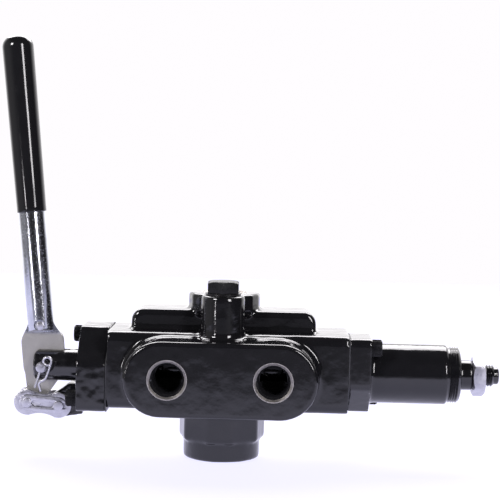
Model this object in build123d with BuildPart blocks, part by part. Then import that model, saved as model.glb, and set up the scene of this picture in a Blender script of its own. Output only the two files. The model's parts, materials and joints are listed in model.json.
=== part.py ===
from build123d import *

import os
from math import asin, atan2, cos, degrees, hypot, radians, sin

# Single-spool hydraulic monoblock valve with a hand lever, as an assembly of its separate pieces.
# Frame: origin at the centre of the inlet port's face, under the valve. +X runs along the spool
# towards the detent housing, +Y to the back, away from the work ports, and +Z up. Millimetres.

# ------------------------------------------------------------------ casting
spool_z = 52.3            # spool axis above the inlet face
body_left = -67.0         # machined end face under the left cap
body_right = 74.0         # machined end face under the detent housing
bar_depth = 50.0          # front to back of the bar that holds the spool bore
bar_top = 23.9            # above the spool axis
bar_bottom = 21.8         # below the spool axis
bar_corner = 5.0

tower_left = -54.5
tower_right = 54.8
tower_front = -10.0
tower_back = 21.5
tower_top = 36.0          # above the spool axis
tower_corner = 7.0
cast_round = 2.5          # rounding of the casting's free edges

pad_front = -44.0         # face of the long round-ended pad that carries the work ports
pad_length = 112.0
pad_height = 43.6
pad_drop = 1.0            # pad and work ports below the spool axis
pad_draft = 3.0           # degrees

work_port_x = 30.4        # each side of the middle
work_tap_r = 9.4          # tapping drill of a 1/2-14 taper pipe thread
work_tap_depth = 16.0
work_mouth_r = 11.4
mouth_depth = 1.8

main_tap_r = 11.8         # tapping drill of a 3/4-14 taper pipe thread
main_tap_depth = 18.0
main_mouth_r = 13.8
main_core_r = 8.8         # cast passage behind an inlet or outlet port
work_core_r = 8.0         # and behind a work port

outlet_y = 3.0
outlet_boss_r = 21.4
outlet_boss_sides = 16
outlet_top = 45.8         # above the spool axis

inlet_boss_r = 25.9
inlet_rim_r = 22.7
inlet_rim_height = 10.8
inlet_corner_angles = (15, 56, 98, 139)

relief_y = -20.8
relief_boss_r = 12.8
relief_top = 46.3         # above the spool axis
boss_flare = 3.0          # radius where an upright boss runs out into the casting

# ------------------------------------------------------------------ spool and its bore
spool_r = 9.525
running_fit = 0.03        # radial, spool in bore and pins in bearings
loose_fit = 0.05          # radial, screws in tapped holes and pressed-in rings
stroke = 6.35             # spool travel each way from neutral
gallery_depth = 4.475      # galleries, beyond the spool's radius
gallery_width = 7.0
passage_overlap = 3.0     # how far the port passages reach into their galleries
inlet_gallery_width = 8.0
bridge_x = 15.2           # pressure galleries each side of the inlet gallery
tank_x = 46.0             # tank galleries
tank_core_r = 6.0
riser_r = 4.0
groove_depth = 3.125      # grooves in the spool
centre_groove_lap = 5.8   # centre groove past the pressure galleries' middle
side_groove_lap = 4.6     # side grooves short of the work galleries' middle
side_groove_reach = 4.0   # and past the tank galleries' middle
land_chamfer = 1.0
seal_wall = 2.475         # seals and wiper, beyond the spool's radius
seal_width = 4.0
seal_fit = 0.08           # radial, between a seal's lip and the spool
right_seal_inset = 10.0   # its middle from the housing's end face

# ------------------------------------------------------------------ end cap and detent housing
gasket_thickness = 0.8
cap_length = 17.2
wiper_lip = 0.3           # wiper standing proud of the cap
cap_full_z = 24.0         # full corners, above or below the spool axis
cap_cut_y = 3.0           # where a cut corner leaves the long edge
cap_cut_z = 5.0           # where it meets the short edge
flange_cut_y = 6.0
flange_cut_z = 6.0
flange_full_z = 22.8
flange_corner = 4.0
screw_y = 17.0            # end screws, on a diagonal each side of the spool
screw_z = 17.0
screw_r = 3.175
screw_head_r = 4.75
screw_head_height = 6.35
screw_socket_af = 4.76
screw_grip = 14.0         # thread engaged in the casting
spool_pass_fit = 0.3      # radial, spool through the cap

housing_flange = 12.2
housing_r = 17.7
housing_wall = 4.5        # round the spring chamber
barrel_length = 46.3      # beyond the flange, up to the thread
barrel_foot = 1.5         # size of the barrel's foot fillet, as a chamfer
housing_thread_step = 1.5
housing_thread = 7.1
neck_wall = 2.35          # round the adjusting screw
neck_length = 7.9
spring_chamber = 29.0     # from the casting's end face
sleeve_step = 1.9         # sleeve bore smaller than the spring chamber
sleeve_bore = 26.0
seat_bore_step = 0.7      # seat bore larger than the adjusting screw
seat_bore_floor = 1.0     # left between the seat bore and the thread's end

adjuster_r = 6.5
adjuster_out = 8.4        # beyond the jam nut
adjuster_tip_step = 1.5
adjuster_tip = 2.4
adjuster_socket_af = 5.0
adjuster_socket = 4.0
jam_nut_af = 21.5
jam_nut_thickness = 7.3

# ------------------------------------------------------------------ centring spring and detent
tail_r = 5.0
tail_thread_r = 4.0
tail_thread = 16.0
tail_fit = 0.15
seat_thickness = 2.5
centring_wire = 2.4
centring_turns = 4.5
carrier_gap = 0.5         # between the carrier and its sleeve
carrier_length = 17.8
ball_r = 2.38
ball_back = 8.8           # ball centre behind the carrier's shoulder
ball_gap = 0.1            # between ball and sleeve
cone_bore_r = 4.6
sleeve_inset = 2.0
sleeve_wall = 2.15
detent_groove = 1.1
detent_groove_width = 4.2
detent_wire = 1.5
cone_flange_gap = 0.8     # between the cone's flange and the seat bore
cone_flange = 2.5
cone_pilot_r = 2.5
cone_pilot = 1.5

# ------------------------------------------------------------------ relief valve
plug_af = 17.8
plug_head = 7.0
plug_thread_r = 7.9
plug_thread = 15.0
plug_wall = 2.7
plug_hollow = 9.0
washer_thickness = 1.2
washer_width = 2.5
relief_bore_step = 1.4    # smaller than the plug's thread
relief_seat_height = 4.0
relief_seat_hole_r = 3.0
relief_feed_r = 2.6
relief_seat_z = 10.5      # top of the seat, above the spool axis
poppet_fit = 0.4          # radial, poppet in the hollow plug
poppet_stem_r = 2.2
poppet_height = 10.0
poppet_cone = 4.5
poppet_gap = 0.04
relief_wire = 1.5
shim_thickness = 0.6

# ------------------------------------------------------------------ spool clevis, pin and cotter
lever_clearance = 2.95    # between the blade at full stroke and the end cap
pin_r = 3.175
clevis_overhang = 5.6     # spool beyond the pin
clevis_room = 3.0         # behind the blade, to the slot's bottom
clevis_corner = 4.5
pin_head_r = 5.0
pin_head = 1.8
pin_reach = 5.675         # of the pin's plain end beyond the spool
cotter_reach = 3.075      # of the cotter's hole beyond the spool
cotter_wire_r = 0.75
cotter_fit = 0.12
cotter_angle = 72.7       # of the straight leg, from +X
cotter_leg = 12.9         # below the pin
cotter_bend_r = 2.4
cotter_bend_at = 4.62     # bend's start along the leg, above the pin

# ------------------------------------------------------------------ lever
lever_lean = 5.6          # degrees, top towards -X
tube_r = 8.0
tube_wall = 1.7
tube_bottom = 28.0        # round down to here, above the pin
blade_top = 14.0          # fully flattened below here
blade_width = 25.0
blade_thickness = 4.4
blade_tail = 10.4         # half width of the tail where it leaves the blade
lever_length = 196.0      # from the clevis pin to the grip's top
grip_length = 104.5
grip_cap = 6.0            # vinyl over the tube's end
grip_bottom_wall = 0.75
grip_top_wall = 1.3
grip_crown = 7.0
rivet_height = 24.3
rivet_r = 3.3
rivet_dome = 0.7
rivet_shank_r = 2.5
rivet_sink = 2.0          # spot faces under its heads, into the tube

# ------------------------------------------------------------------ chain link
link_pitch = 19.05
link_left = (-9.1, -21.8)    # lever end of the link, from the clevis pin
link_right_x = 9.9           # bracket end, from the clevis pin
link_pin_r = 2.97
link_plate_r = 7.6
link_waist = 11.6
link_waist_r = 18.0
link_plate = 2.4
link_half_gap = 6.5
link_neck_r = 2.35
link_neck = 1.3
link_pin_tip = 0.9
link_pin_rivet = 1.0
clip_thickness = 1.1
clip_half_width = 4.6
clip_mouth = 3.4
spacer_r = 5.2
side_play = 0.3
lug_gap = 0.4
lug_r = 7.4
lug_shoulder_z = -4.5        # lug's upper edge where it leaves the cap, from the spool axis
lever_hole_play = 0.98       # radial room for the pin of the pivot at which the four-bar is opened
lever_hole_shift = (-0.17, -0.54)   # its centre from the link pin at rest, in the lever's own axes

# ------------------------------------------------------------------ derived places
bore_r = spool_r + running_fit
gallery_r = spool_r + gallery_depth
groove_r = spool_r - groove_depth
seal_r = spool_r + seal_wall
port_z = spool_z - pad_drop
cap_half_depth = bar_depth / 2
cap_right = body_left - gasket_thickness
cap_left = cap_right - cap_length
pin_x = cap_left - lever_clearance - stroke - blade_width / 2
housing_left = body_right + gasket_thickness
flange_right = housing_left + housing_flange
housing_end = flange_right + barrel_length
housing_thread_end = housing_end + housing_thread
neck_end = housing_thread_end + neck_length
housing_thread_r = housing_r - housing_thread_step
neck_r = adjuster_r + neck_wall
spring_chamber_r = housing_r - housing_wall
spring_chamber_end = body_right + spring_chamber
sleeve_bore_r = spring_chamber_r - sleeve_step
sleeve_bore_end = spring_chamber_end + sleeve_bore
sleeve_start = spring_chamber_end + sleeve_inset
seat_bore_r = adjuster_r + seat_bore_step
seat_bore_end = housing_thread_end - seat_bore_floor
cone_flange_r = seat_bore_r - cone_flange_gap
nut_end = neck_end + jam_nut_thickness
adjuster_end = nut_end + adjuster_out
adjuster_tip_r = adjuster_r - adjuster_tip_step
spool_left = pin_x - clevis_overhang
spool_right = body_right
right_seal_x = body_right - right_seal_inset
centre_groove_half = bridge_x + centre_groove_lap
side_groove_near = work_port_x + side_groove_lap
side_groove_far = tank_x + side_groove_reach
clevis_slot = blade_thickness + 2 * side_play
clevis_depth = blade_width / 2 + clevis_room
pin_front = -spool_r - pin_reach
cotter_y = -spool_r - cotter_reach
tail_end = spring_chamber_end + 0.2
carrier_end = tail_end + carrier_length
ball_x = tail_end + ball_back
sleeve_inner_r = sleeve_bore_r - loose_fit - sleeve_wall
carrier_r = sleeve_inner_r - carrier_gap
adjuster_start = seat_bore_end - 0.2
head_floor = spool_z + relief_top
plug_hollow_r = plug_thread_r - plug_wall
washer_r = plug_thread_r + washer_width
relief_bore_r = plug_thread_r - relief_bore_step
poppet_r = plug_hollow_r - poppet_fit
relief_seat_top = spool_z + relief_seat_z
link_drop = (link_pitch**2 - (link_right_x - link_left[0]) ** 2) ** 0.5
link_pin_left = (pin_x + link_left[0], spool_z + link_left[1])
link_pin_right = (pin_x + link_right_x, spool_z + link_left[1] - link_drop)
link_tilt = degrees(atan2(link_pin_right[1] - link_pin_left[1], link_pin_right[0] - link_pin_left[0]))
lean = radians(lever_lean)
lever_across = (cos(lean), 0, sin(lean))
lever_up = (-sin(lean), 0, cos(lean))
lever_plane = Plane((pin_x, 0, spool_z), x_dir=lever_across, z_dir=(0, -1, 0))
grip_top = lever_length
grip_bottom = grip_top - grip_length
tube_top = grip_top - grip_cap
grip_bottom_r = tube_r + grip_bottom_wall
grip_top_r = tube_r + grip_top_wall
rivet_head_at = tube_r - rivet_sink
lug_half_thickness = link_half_gap - lug_gap
foot_r = lug_r - 0.6


# ------------------------------------------------------------------ helpers
def turn(place, along, outline, mode=Mode.ADD):
    """Turn a closed outline of (radius, distance) pairs about the line through place."""
    radial = (0, 0, 1) if along[0] else (1, 0, 0)
    facing = Vector(*radial).cross(Vector(*along))
    with BuildSketch(Plane(place, x_dir=radial, z_dir=facing)) as profile:
        with BuildLine():
            Polyline(*outline, close=True)
        make_face()
    revolve(profile.sketch, axis=Axis(place, along), mode=mode)


def turn_spool(outline, mode=Mode.ADD):
    """Turn about the spool axis; distances are X."""
    turn((0, 0, spool_z), (1, 0, 0), outline, mode)


def turn_upright(x, y, outline, mode=Mode.ADD):
    """Turn about a vertical line; distances are Z."""
    turn((x, y, 0), (0, 0, 1), outline, mode)


def turn_cross(x, z, outline, mode=Mode.ADD):
    """Turn about a front-to-back line; distances are Y."""
    turn((x, 0, z), (0, 1, 0), outline, mode)


def rod(radius, start, end):
    """Outline of a plain rod or drilled hole."""
    return [(0, start), (radius, start), (radius, end), (0, end)]


def ring(inner, outer, start, end):
    """Outline of a plain ring."""
    return [(inner, start), (outer, start), (outer, end), (inner, end)]


def drill_x(y, z, radius, start, end):
    """Drill along X."""
    turn((0, y, z), (1, 0, 0), rod(radius, start, end), Mode.SUBTRACT)


def coil(place, along, mean_r, wire, turns, start, end):
    """A helical spring between two planes across its axis, as round wire."""
    wire_r = wire / 2
    length = end - start - wire
    base = Vector(*place) + Vector(*along) * (start + wire_r)
    with BuildLine() as helix:
        Helix(length / turns, length, mean_r, center=base, direction=along)
    with BuildSketch(Plane(helix.line @ 0, z_dir=helix.line % 0)) as section:
        Circle(wire_r)
    sweep(section.sketch, path=helix.line)


def screw_places(sign):
    """The two end screws as (Y, Z); sign is +1 where the front one is the upper."""
    return [(-screw_y, spool_z + sign * screw_z), (screw_y, spool_z - sign * screw_z)]


def cap_outline(sign):
    """Lozenge outline of an end cap, with full corners on the diagonal of its screws."""
    if sign < 0:
        half, full, cut_y, cut_z = cap_half_depth, cap_full_z, cap_cut_y, cap_cut_z
    else:
        half, full, cut_y, cut_z = cap_half_depth, flange_full_z, flange_cut_y, flange_cut_z
    corners = [(-half, -full), (-half, cut_z), (-cut_y, full), (half, full), (half, -cut_z), (cut_y, -full)]
    with BuildSketch(Plane.YZ) as outline:
        with BuildLine():
            Polyline(*[(y, spool_z - sign * z) for y, z in corners], close=True)
        make_face()
        fillet(outline.vertices(), flange_corner)
    return outline.sketch


def gasket(x, sign):
    """A flat gasket in the outline of its cap, with the spool and screw holes."""
    extrude(cap_outline(sign).moved(Location((x, 0, 0))), amount=gasket_thickness, dir=(1, 0, 0))
    hole_r = spring_chamber_r + loose_fit
    turn_spool(rod(hole_r, x - 1, x + gasket_thickness + 1), Mode.SUBTRACT)
    for y, z in screw_places(sign):
        drill_x(y, z, screw_r + spool_pass_fit, x - 1, x + gasket_thickness + 1)


def cap_screw(y, z, seat, direction, grip):
    """A hexagon socket head screw under a seat at X, its head on the far side of direction."""
    head_end = seat - direction * screw_head_height
    socket_floor = head_end + direction * screw_head_height / 2
    shank_end = seat + direction * grip
    low, high = sorted((seat, head_end))
    turn((0, y, z), (1, 0, 0), rod(screw_head_r, low, high))
    low, high = sorted((seat, shank_end))
    turn((0, y, z), (1, 0, 0), rod(screw_r, low, high))
    with BuildSketch(Plane((head_end, y, z), x_dir=(0, 1, 0), z_dir=(direction, 0, 0))) as socket:
        RegularPolygon(screw_socket_af / 2, 6, major_radius=False)
    extrude(socket.sketch, amount=abs(socket_floor - head_end), mode=Mode.SUBTRACT)


def save(piece, label):
    """Label a finished piece and write it as STEP."""
    piece.part.label = label
    export_step(piece.part, f"parts/{label}.step")


os.makedirs("parts", exist_ok=True)

# ================================================================== valve body
with BuildPart() as tower:
    with BuildSketch(Plane.XZ.offset(-tower_back)):
        with Locations(((tower_left + tower_right) / 2, spool_z + tower_top / 2)):
            RectangleRounded(tower_right - tower_left, tower_top, tower_corner)
    extrude(amount=tower_back - tower_front)
    fillet(tower.edges().filter_by_position(Axis.Y, tower_front, tower_front), cast_round)
    fillet(tower.edges().filter_by_position(Axis.Y, tower_back, tower_back), cast_round)

with BuildPart() as port_pad:
    with BuildSketch(Plane((0, pad_front, port_z), x_dir=(1, 0, 0), z_dir=(0, 1, 0))):
        SlotOverall(pad_length, pad_height)
    extrude(amount=bar_depth / 2, taper=-pad_draft)
    fillet(port_pad.edges().filter_by_position(Axis.Y, pad_front, pad_front), cast_round / 2)

with BuildPart() as outlet_boss:
    with BuildSketch(Plane.XY.offset(spool_z + tower_top - cast_round)):
        with Locations((0, outlet_y)):
            RegularPolygon(outlet_boss_r, outlet_boss_sides, rotation=7)
    extrude(amount=outlet_top - tower_top + cast_round)
    chamfer(outlet_boss.edges().group_by(Axis.Z)[-1], 1.2)
    chamfer(outlet_boss.edges().group_by(Axis.Z)[0], 1.2)

# faceted neck of the inlet boss, its corners given as angles from the front
neck_angles = [180] + [side * angle for side in (1, -1) for angle in inlet_corner_angles]
neck_points = [
    (inlet_boss_r * sin(radians(angle)), -inlet_boss_r * cos(radians(angle)))
    for angle in sorted(neck_angles)
]
with BuildPart() as inlet_neck:
    with BuildSketch(Plane.XY.offset(inlet_rim_height)):
        with BuildLine():
            Polyline(*neck_points, close=True)
        make_face()
    extrude(amount=spool_z - bar_bottom + bar_corner - inlet_rim_height)
    chamfer(inlet_neck.edges().group_by(Axis.Z)[0], 1.6)

# relief boss in front of the tower, with its flare into the pad
flare_z = port_z + pad_height / 2
flare_side = relief_boss_r + boss_flare
with BuildPart() as relief_boss:
    with BuildSketch(Plane((0, relief_y, 0), x_dir=(1, 0, 0), z_dir=(0, -1, 0))):
        with BuildLine():
            Polyline(
                (relief_boss_r, flare_z + boss_flare),
                (relief_boss_r, head_floor - 1),
                (relief_boss_r - 1, head_floor),
                (0, head_floor),
                (0, flare_z - boss_flare),
                (flare_side, flare_z - boss_flare),
                (flare_side, flare_z),
            )
            RadiusArc((flare_side, flare_z), (relief_boss_r, flare_z + boss_flare), boss_flare)
        make_face()
    revolve(axis=Axis((0, relief_y, 0), (0, 0, 1)))

with BuildPart() as valve_body:
    # bar around the spool bore, and the casting's other masses
    with BuildSketch(Plane.YZ.offset(body_left)):
        with Locations((0, spool_z + (bar_top - bar_bottom) / 2)):
            RectangleRounded(bar_depth, bar_top + bar_bottom, bar_corner)
    extrude(amount=body_right - body_left)
    add(tower.part)
    add(port_pad.part)
    add(outlet_boss.part)
    add(relief_boss.part)
    add(inlet_neck.part)
    rim = [(0, 0), (inlet_rim_r - 1, 0), (inlet_rim_r, 1), (inlet_rim_r, inlet_rim_height + 2)]
    turn_upright(0, 0, rim + [(0, inlet_rim_height + 2)])

    # spool bore with its galleries and seal grooves, cut as one stepped outline
    bore = [(0, body_left - 1), (seal_r, body_left - 1), (seal_r, body_left + seal_width + loose_fit)]
    galleries = [(-tank_x, gallery_width), (-work_port_x, gallery_width), (-bridge_x, gallery_width)]
    galleries += [(0, inlet_gallery_width), (bridge_x, gallery_width), (work_port_x, gallery_width)]
    galleries += [(tank_x, gallery_width)]
    steps = [(x, width, gallery_r) for x, width in galleries]
    steps += [(right_seal_x, seal_width + 2 * loose_fit, seal_r)]
    bore.append((bore_r, body_left + seal_width + loose_fit))
    for x, width, radius in steps:
        bore += [(bore_r, x - width / 2), (radius, x - width / 2)]
        bore += [(radius, x + width / 2), (bore_r, x + width / 2)]
    bore += [(bore_r, body_right + 1), (0, body_right + 1)]
    turn_spool(bore, Mode.SUBTRACT)

    # work ports
    port_floor = pad_front + work_tap_depth
    passage_end = spool_z - gallery_r + passage_overlap
    for x in (-work_port_x, work_port_x):
        port = [(0, pad_front - 1), (work_mouth_r, pad_front - 1), (work_mouth_r, pad_front)]
        port += [(work_tap_r, pad_front + mouth_depth), (work_tap_r, port_floor)]
        port += [(work_core_r, port_floor), (work_core_r, passage_overlap - gallery_r)]
        port.append((0, passage_overlap - gallery_r))
        turn_cross(x, port_z, port, Mode.SUBTRACT)

    # inlet port, up to the inlet gallery
    inlet = [(0, -1), (main_tap_r, -1), (main_tap_r, main_tap_depth), (main_core_r, main_tap_depth)]
    inlet += [(main_core_r, passage_end), (0, passage_end)]
    turn_upright(0, 0, inlet, Mode.SUBTRACT)

    # outlet port, down to the tank core
    outlet_z = spool_z + outlet_top
    tank_core_z = spool_z + bar_top - 1
    outlet = [(0, outlet_z + 1), (main_mouth_r, outlet_z + 1), (main_mouth_r, outlet_z)]
    outlet += [(main_tap_r, outlet_z - mouth_depth), (main_tap_r, outlet_z - main_tap_depth)]
    outlet += [(main_core_r, outlet_z - main_tap_depth), (main_core_r, tank_core_z), (0, tank_core_z)]
    turn_upright(0, outlet_y, outlet, Mode.SUBTRACT)

    # tank core, its two risers, and the bridge between the pressure galleries
    drill_x(outlet_y, tank_core_z, tank_core_r, -tank_x - riser_r / 2, tank_x + riser_r / 2)
    for x in (-tank_x, tank_x):
        riser = rod(riser_r, spool_z + gallery_r - passage_overlap, tank_core_z)
        turn_upright(x, outlet_y, riser, Mode.SUBTRACT)
    bridge_end = bridge_x + gallery_width / 2
    drill_x(0, spool_z - gallery_r - riser_r / 2, riser_r, -bridge_end, bridge_end)

    # relief cavity, its feed from the inlet gallery and its way out to tank
    cavity = [(0, head_floor + 1), (plug_thread_r + loose_fit, head_floor + 1)]
    cavity += [(plug_thread_r + loose_fit, head_floor - plug_thread)]
    cavity.append((relief_bore_r, head_floor - plug_thread))
    cavity += [(relief_bore_r, relief_seat_top - relief_seat_height)]
    cavity += [(relief_seat_hole_r, relief_seat_top - relief_seat_height)]
    cavity += [(relief_seat_hole_r, spool_z - relief_feed_r - 1), (0, spool_z - relief_feed_r - 1)]
    turn_upright(0, relief_y, cavity, Mode.SUBTRACT)
    turn_cross(0, spool_z, rod(relief_feed_r, relief_y, passage_overlap - gallery_r), Mode.SUBTRACT)
    turn_cross(0, tank_core_z - 1, rod(3.2, relief_y, outlet_y), Mode.SUBTRACT)

    # tapped holes for the end screws
    hole_depth = screw_grip + 3
    for y, z in screw_places(-1):
        drill_x(y, z, screw_r + loose_fit, body_left - 1, body_left + hole_depth)
    for y, z in screw_places(1):
        drill_x(y, z, screw_r + loose_fit, body_right - hole_depth, body_right + 1)
save(valve_body, "valve_body")

# ================================================================== left end cap and its lug
lug_plane = Plane.XZ.offset(-lug_half_thickness)
with BuildPart() as end_cap_left:
    extrude(cap_outline(-1).moved(Location((cap_left, 0, 0))), amount=cap_right - cap_left, dir=(1, 0, 0))
    with BuildSketch(lug_plane):
        with BuildLine():
            top = (cap_left + 2, spool_z + lug_shoulder_z)
            bottom = (cap_left + 2, link_pin_right[1] - lug_r + 2)
            reach = hypot(top[0] - link_pin_right[0], top[1] - link_pin_right[1])
            bearing = atan2(top[1] - link_pin_right[1], top[0] - link_pin_right[0])
            upper = bearing + radians(90) - asin(lug_r / reach)
            touch = (link_pin_right[0] + lug_r * cos(upper), link_pin_right[1] + lug_r * sin(upper))
            under = (link_pin_right[0], link_pin_right[1] - lug_r)
            Line(touch, top)
            Line(top, bottom)
            Line(bottom, under)
            ThreePointArc(under, (link_pin_right[0] - lug_r, link_pin_right[1]), touch)
        make_face()
    extrude(amount=2 * lug_half_thickness)
    turn_cross(*link_pin_right, rod(link_pin_r + running_fit, -cap_half_depth, cap_half_depth), Mode.SUBTRACT)
    turn_spool(rod(spool_r + spool_pass_fit, cap_left - 20, cap_right + 1), Mode.SUBTRACT)
    turn_spool(rod(seal_r, cap_left - 2, cap_left + seal_width), Mode.SUBTRACT)
    for y, z in screw_places(-1):
        drill_x(y, z, screw_r + spool_pass_fit, cap_left - 1, cap_right + 1)
save(end_cap_left, "end_cap_left")

with BuildPart() as end_cap_gasket:
    gasket(cap_right, -1)
save(end_cap_gasket, "end_cap_gasket")

with BuildPart() as end_cap_screws:
    for y, z in screw_places(-1):
        cap_screw(y, z, cap_left, 1, body_left - cap_left + screw_grip)
save(end_cap_screws, "end_cap_screws")

with BuildPart() as spool_wiper:
    lip = spool_r + seal_fit
    outer = seal_r - loose_fit
    wiper = [(lip, cap_left), (lip + wiper_lip, cap_left - wiper_lip), (outer - 0.6, cap_left + 0.2)]
    wiper += [(outer, cap_left + 0.2), (outer, cap_left + seal_width - loose_fit)]
    wiper += [(lip + 0.6, cap_left + seal_width - loose_fit)]
    turn_spool(wiper)
save(spool_wiper, "spool_wiper")

with BuildPart() as spool_seal_left:
    turn_spool(ring(spool_r + seal_fit, seal_r - loose_fit, body_left + loose_fit, body_left + seal_width))
save(spool_seal_left, "spool_seal_left")

with BuildPart() as spool_seal_right:
    half_seal = seal_width / 2
    seal_span = (right_seal_x - half_seal, right_seal_x + half_seal)
    turn_spool(ring(spool_r + seal_fit, seal_r - loose_fit, *seal_span))
save(spool_seal_right, "spool_seal_right")

# ================================================================== detent housing
with BuildPart() as detent_housing:
    outline = cap_outline(1).moved(Location((housing_left, 0, 0)))
    extrude(outline, amount=housing_flange, dir=(1, 0, 0))
    foot = housing_r + barrel_foot
    shell = [(0, flange_right - barrel_foot), (foot, flange_right - barrel_foot), (foot, flange_right)]
    shell += [(housing_r, flange_right + barrel_foot), (housing_r, housing_end - 1.2)]
    shell += [(housing_thread_r, housing_end), (housing_thread_r, housing_thread_end - 3)]
    shell += [(housing_thread_r - 1.2, housing_thread_end - 0.8), (housing_thread_r - 3, housing_thread_end)]
    shell += [(neck_r, housing_thread_end), (neck_r, neck_end - 0.6), (neck_r - 0.6, neck_end), (0, neck_end)]
    turn_spool(shell)
    chamber = [(0, housing_left - 1), (spring_chamber_r, housing_left - 1)]
    chamber += [(spring_chamber_r, spring_chamber_end), (sleeve_bore_r, spring_chamber_end)]
    chamber += [(sleeve_bore_r, sleeve_bore_end), (seat_bore_r, sleeve_bore_end)]
    chamber += [(seat_bore_r, seat_bore_end), (adjuster_r + loose_fit, seat_bore_end)]
    chamber += [(adjuster_r + loose_fit, neck_end + 1), (0, neck_end + 1)]
    turn_spool(chamber, Mode.SUBTRACT)
    for y, z in screw_places(1):
        drill_x(y, z, screw_r + spool_pass_fit, housing_left - 1, flange_right + 1)
        drill_x(y, z, screw_head_r + 0.4, flange_right, flange_right + screw_head_height + 4)
save(detent_housing, "detent_housing")

with BuildPart() as housing_gasket:
    gasket(body_right, 1)
save(housing_gasket, "housing_gasket")

with BuildPart() as detent_housing_screws:
    for y, z in screw_places(1):
        cap_screw(y, z, flange_right, -1, flange_right - body_right + screw_grip)
save(detent_housing_screws, "detent_housing_screws")

with BuildPart() as jam_nut:
    with BuildSketch(Plane((neck_end, 0, spool_z), x_dir=(0, 0, 1), z_dir=(1, 0, 0))):
        RegularPolygon(jam_nut_af / 2, 6, major_radius=False)
    extrude(amount=jam_nut_thickness)
    corner_r = jam_nut_af / 2 / cos(radians(30))
    crown = [(0, neck_end), (jam_nut_af / 2, neck_end), (corner_r, neck_end + 1.1)]
    crown += [(corner_r, nut_end - 1.1), (jam_nut_af / 2, nut_end), (0, nut_end)]
    turn_spool(crown, Mode.INTERSECT)
    turn_spool(rod(adjuster_r + loose_fit, neck_end - 1, nut_end + 1), Mode.SUBTRACT)
save(jam_nut, "jam_nut")

with BuildPart() as adjust_screw:
    tip_start = adjuster_end - adjuster_tip
    stud = [(0, adjuster_start), (adjuster_r, adjuster_start), (adjuster_r, tip_start - 1.2)]
    stud += [(adjuster_tip_r, tip_start), (adjuster_tip_r, adjuster_end - 0.5)]
    stud += [(adjuster_tip_r - 0.5, adjuster_end), (0, adjuster_end)]
    turn_spool(stud)
    with BuildSketch(Plane((adjuster_end, 0, spool_z), x_dir=(0, 1, 0), z_dir=(-1, 0, 0))):
        RegularPolygon(adjuster_socket_af / 2, 6, major_radius=False)
    extrude(amount=adjuster_socket, mode=Mode.SUBTRACT)
save(adjust_screw, "adjust_screw")

with BuildPart() as detent_sleeve:
    groove_x = ball_x + stroke
    sleeve = [(sleeve_inner_r, sleeve_start), (sleeve_bore_r - loose_fit, sleeve_start)]
    sleeve += [(sleeve_bore_r - loose_fit, sleeve_bore_end - 0.2), (sleeve_inner_r, sleeve_bore_end - 0.2)]
    sleeve += [(sleeve_inner_r, groove_x + detent_groove_width / 2)]
    sleeve += [(sleeve_inner_r + detent_groove, groove_x + detent_groove_width / 2 - 0.8)]
    sleeve += [(sleeve_inner_r + detent_groove, groove_x - detent_groove_width / 2 + 0.8)]
    sleeve += [(sleeve_inner_r, groove_x - detent_groove_width / 2)]
    turn_spool(sleeve)
save(detent_sleeve, "detent_sleeve")

spring_seat_end = adjuster_start - 0.1
spring_seat_start = spring_seat_end - seat_thickness
with BuildPart() as detent_spring_seat:
    seat = [(0, spring_seat_end), (cone_flange_r, spring_seat_end), (cone_flange_r, spring_seat_start)]
    seat += [(cone_pilot_r, spring_seat_start), (cone_pilot_r, spring_seat_start - cone_pilot)]
    seat += [(0, spring_seat_start - cone_pilot)]
    turn_spool(seat)
save(detent_spring_seat, "detent_spring_seat")

cone_back = carrier_end + 0.5 + cone_flange
with BuildPart() as detent_spring:
    mean_r = cone_pilot_r + detent_wire / 2 + 0.3
    coil((0, 0, spool_z), (1, 0, 0), mean_r, detent_wire, 3.5, cone_back + 0.05, spring_seat_start - 0.05)
save(detent_spring, "detent_spring")

with BuildPart() as centering_spring_pack:
    seat_outer = spring_chamber_r - 3 * loose_fit
    left_seat = body_right + 0.1
    right_seat = spring_chamber_end - seat_thickness
    for start in (left_seat, right_seat):
        turn_spool(ring(tail_r + tail_fit, seat_outer, start, start + seat_thickness))
    coil_start = left_seat + seat_thickness + 0.05
    mean_r = (seat_outer + tail_r) / 2 + 0.6
    coil((0, 0, spool_z), (1, 0, 0), mean_r, centring_wire, centring_turns, coil_start, right_seat - 0.05)
save(centering_spring_pack, "centering_spring_pack")

# ================================================================== relief valve
plug_seat = head_floor + washer_thickness
with BuildPart() as relief_plug:
    with BuildSketch(Plane.XY.offset(plug_seat)):
        with Locations((0, relief_y)):
            RegularPolygon(plug_af / 2, 6, major_radius=False, rotation=30)
    extrude(amount=plug_head)
    corner_r = plug_af / 2 / cos(radians(30))
    plug_top = plug_seat + plug_head
    crown = [(0, plug_seat), (corner_r, plug_seat), (corner_r, plug_top - 1.3)]
    crown += [(plug_af / 2 - 0.4, plug_top), (0, plug_top)]
    turn_upright(0, relief_y, crown, Mode.INTERSECT)
    plug_end = head_floor - plug_thread + 0.5
    turn_upright(0, relief_y, rod(plug_thread_r, plug_end, plug_seat))
    turn_upright(0, relief_y, rod(plug_hollow_r, plug_end - 1, plug_end + plug_hollow), Mode.SUBTRACT)
save(relief_plug, "relief_plug")

with BuildPart() as relief_plug_washer:
    turn_upright(0, relief_y, ring(plug_thread_r + loose_fit, washer_r, head_floor, plug_seat))
save(relief_plug_washer, "relief_plug_washer")

shim_top = plug_end + plug_hollow
with BuildPart() as relief_shims:
    for level in (1, 2):
        z = shim_top - level * (shim_thickness + 0.02)
        turn_upright(0, relief_y, rod(plug_hollow_r - 0.2, z, z + shim_thickness))
save(relief_shims, "relief_shims")

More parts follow.
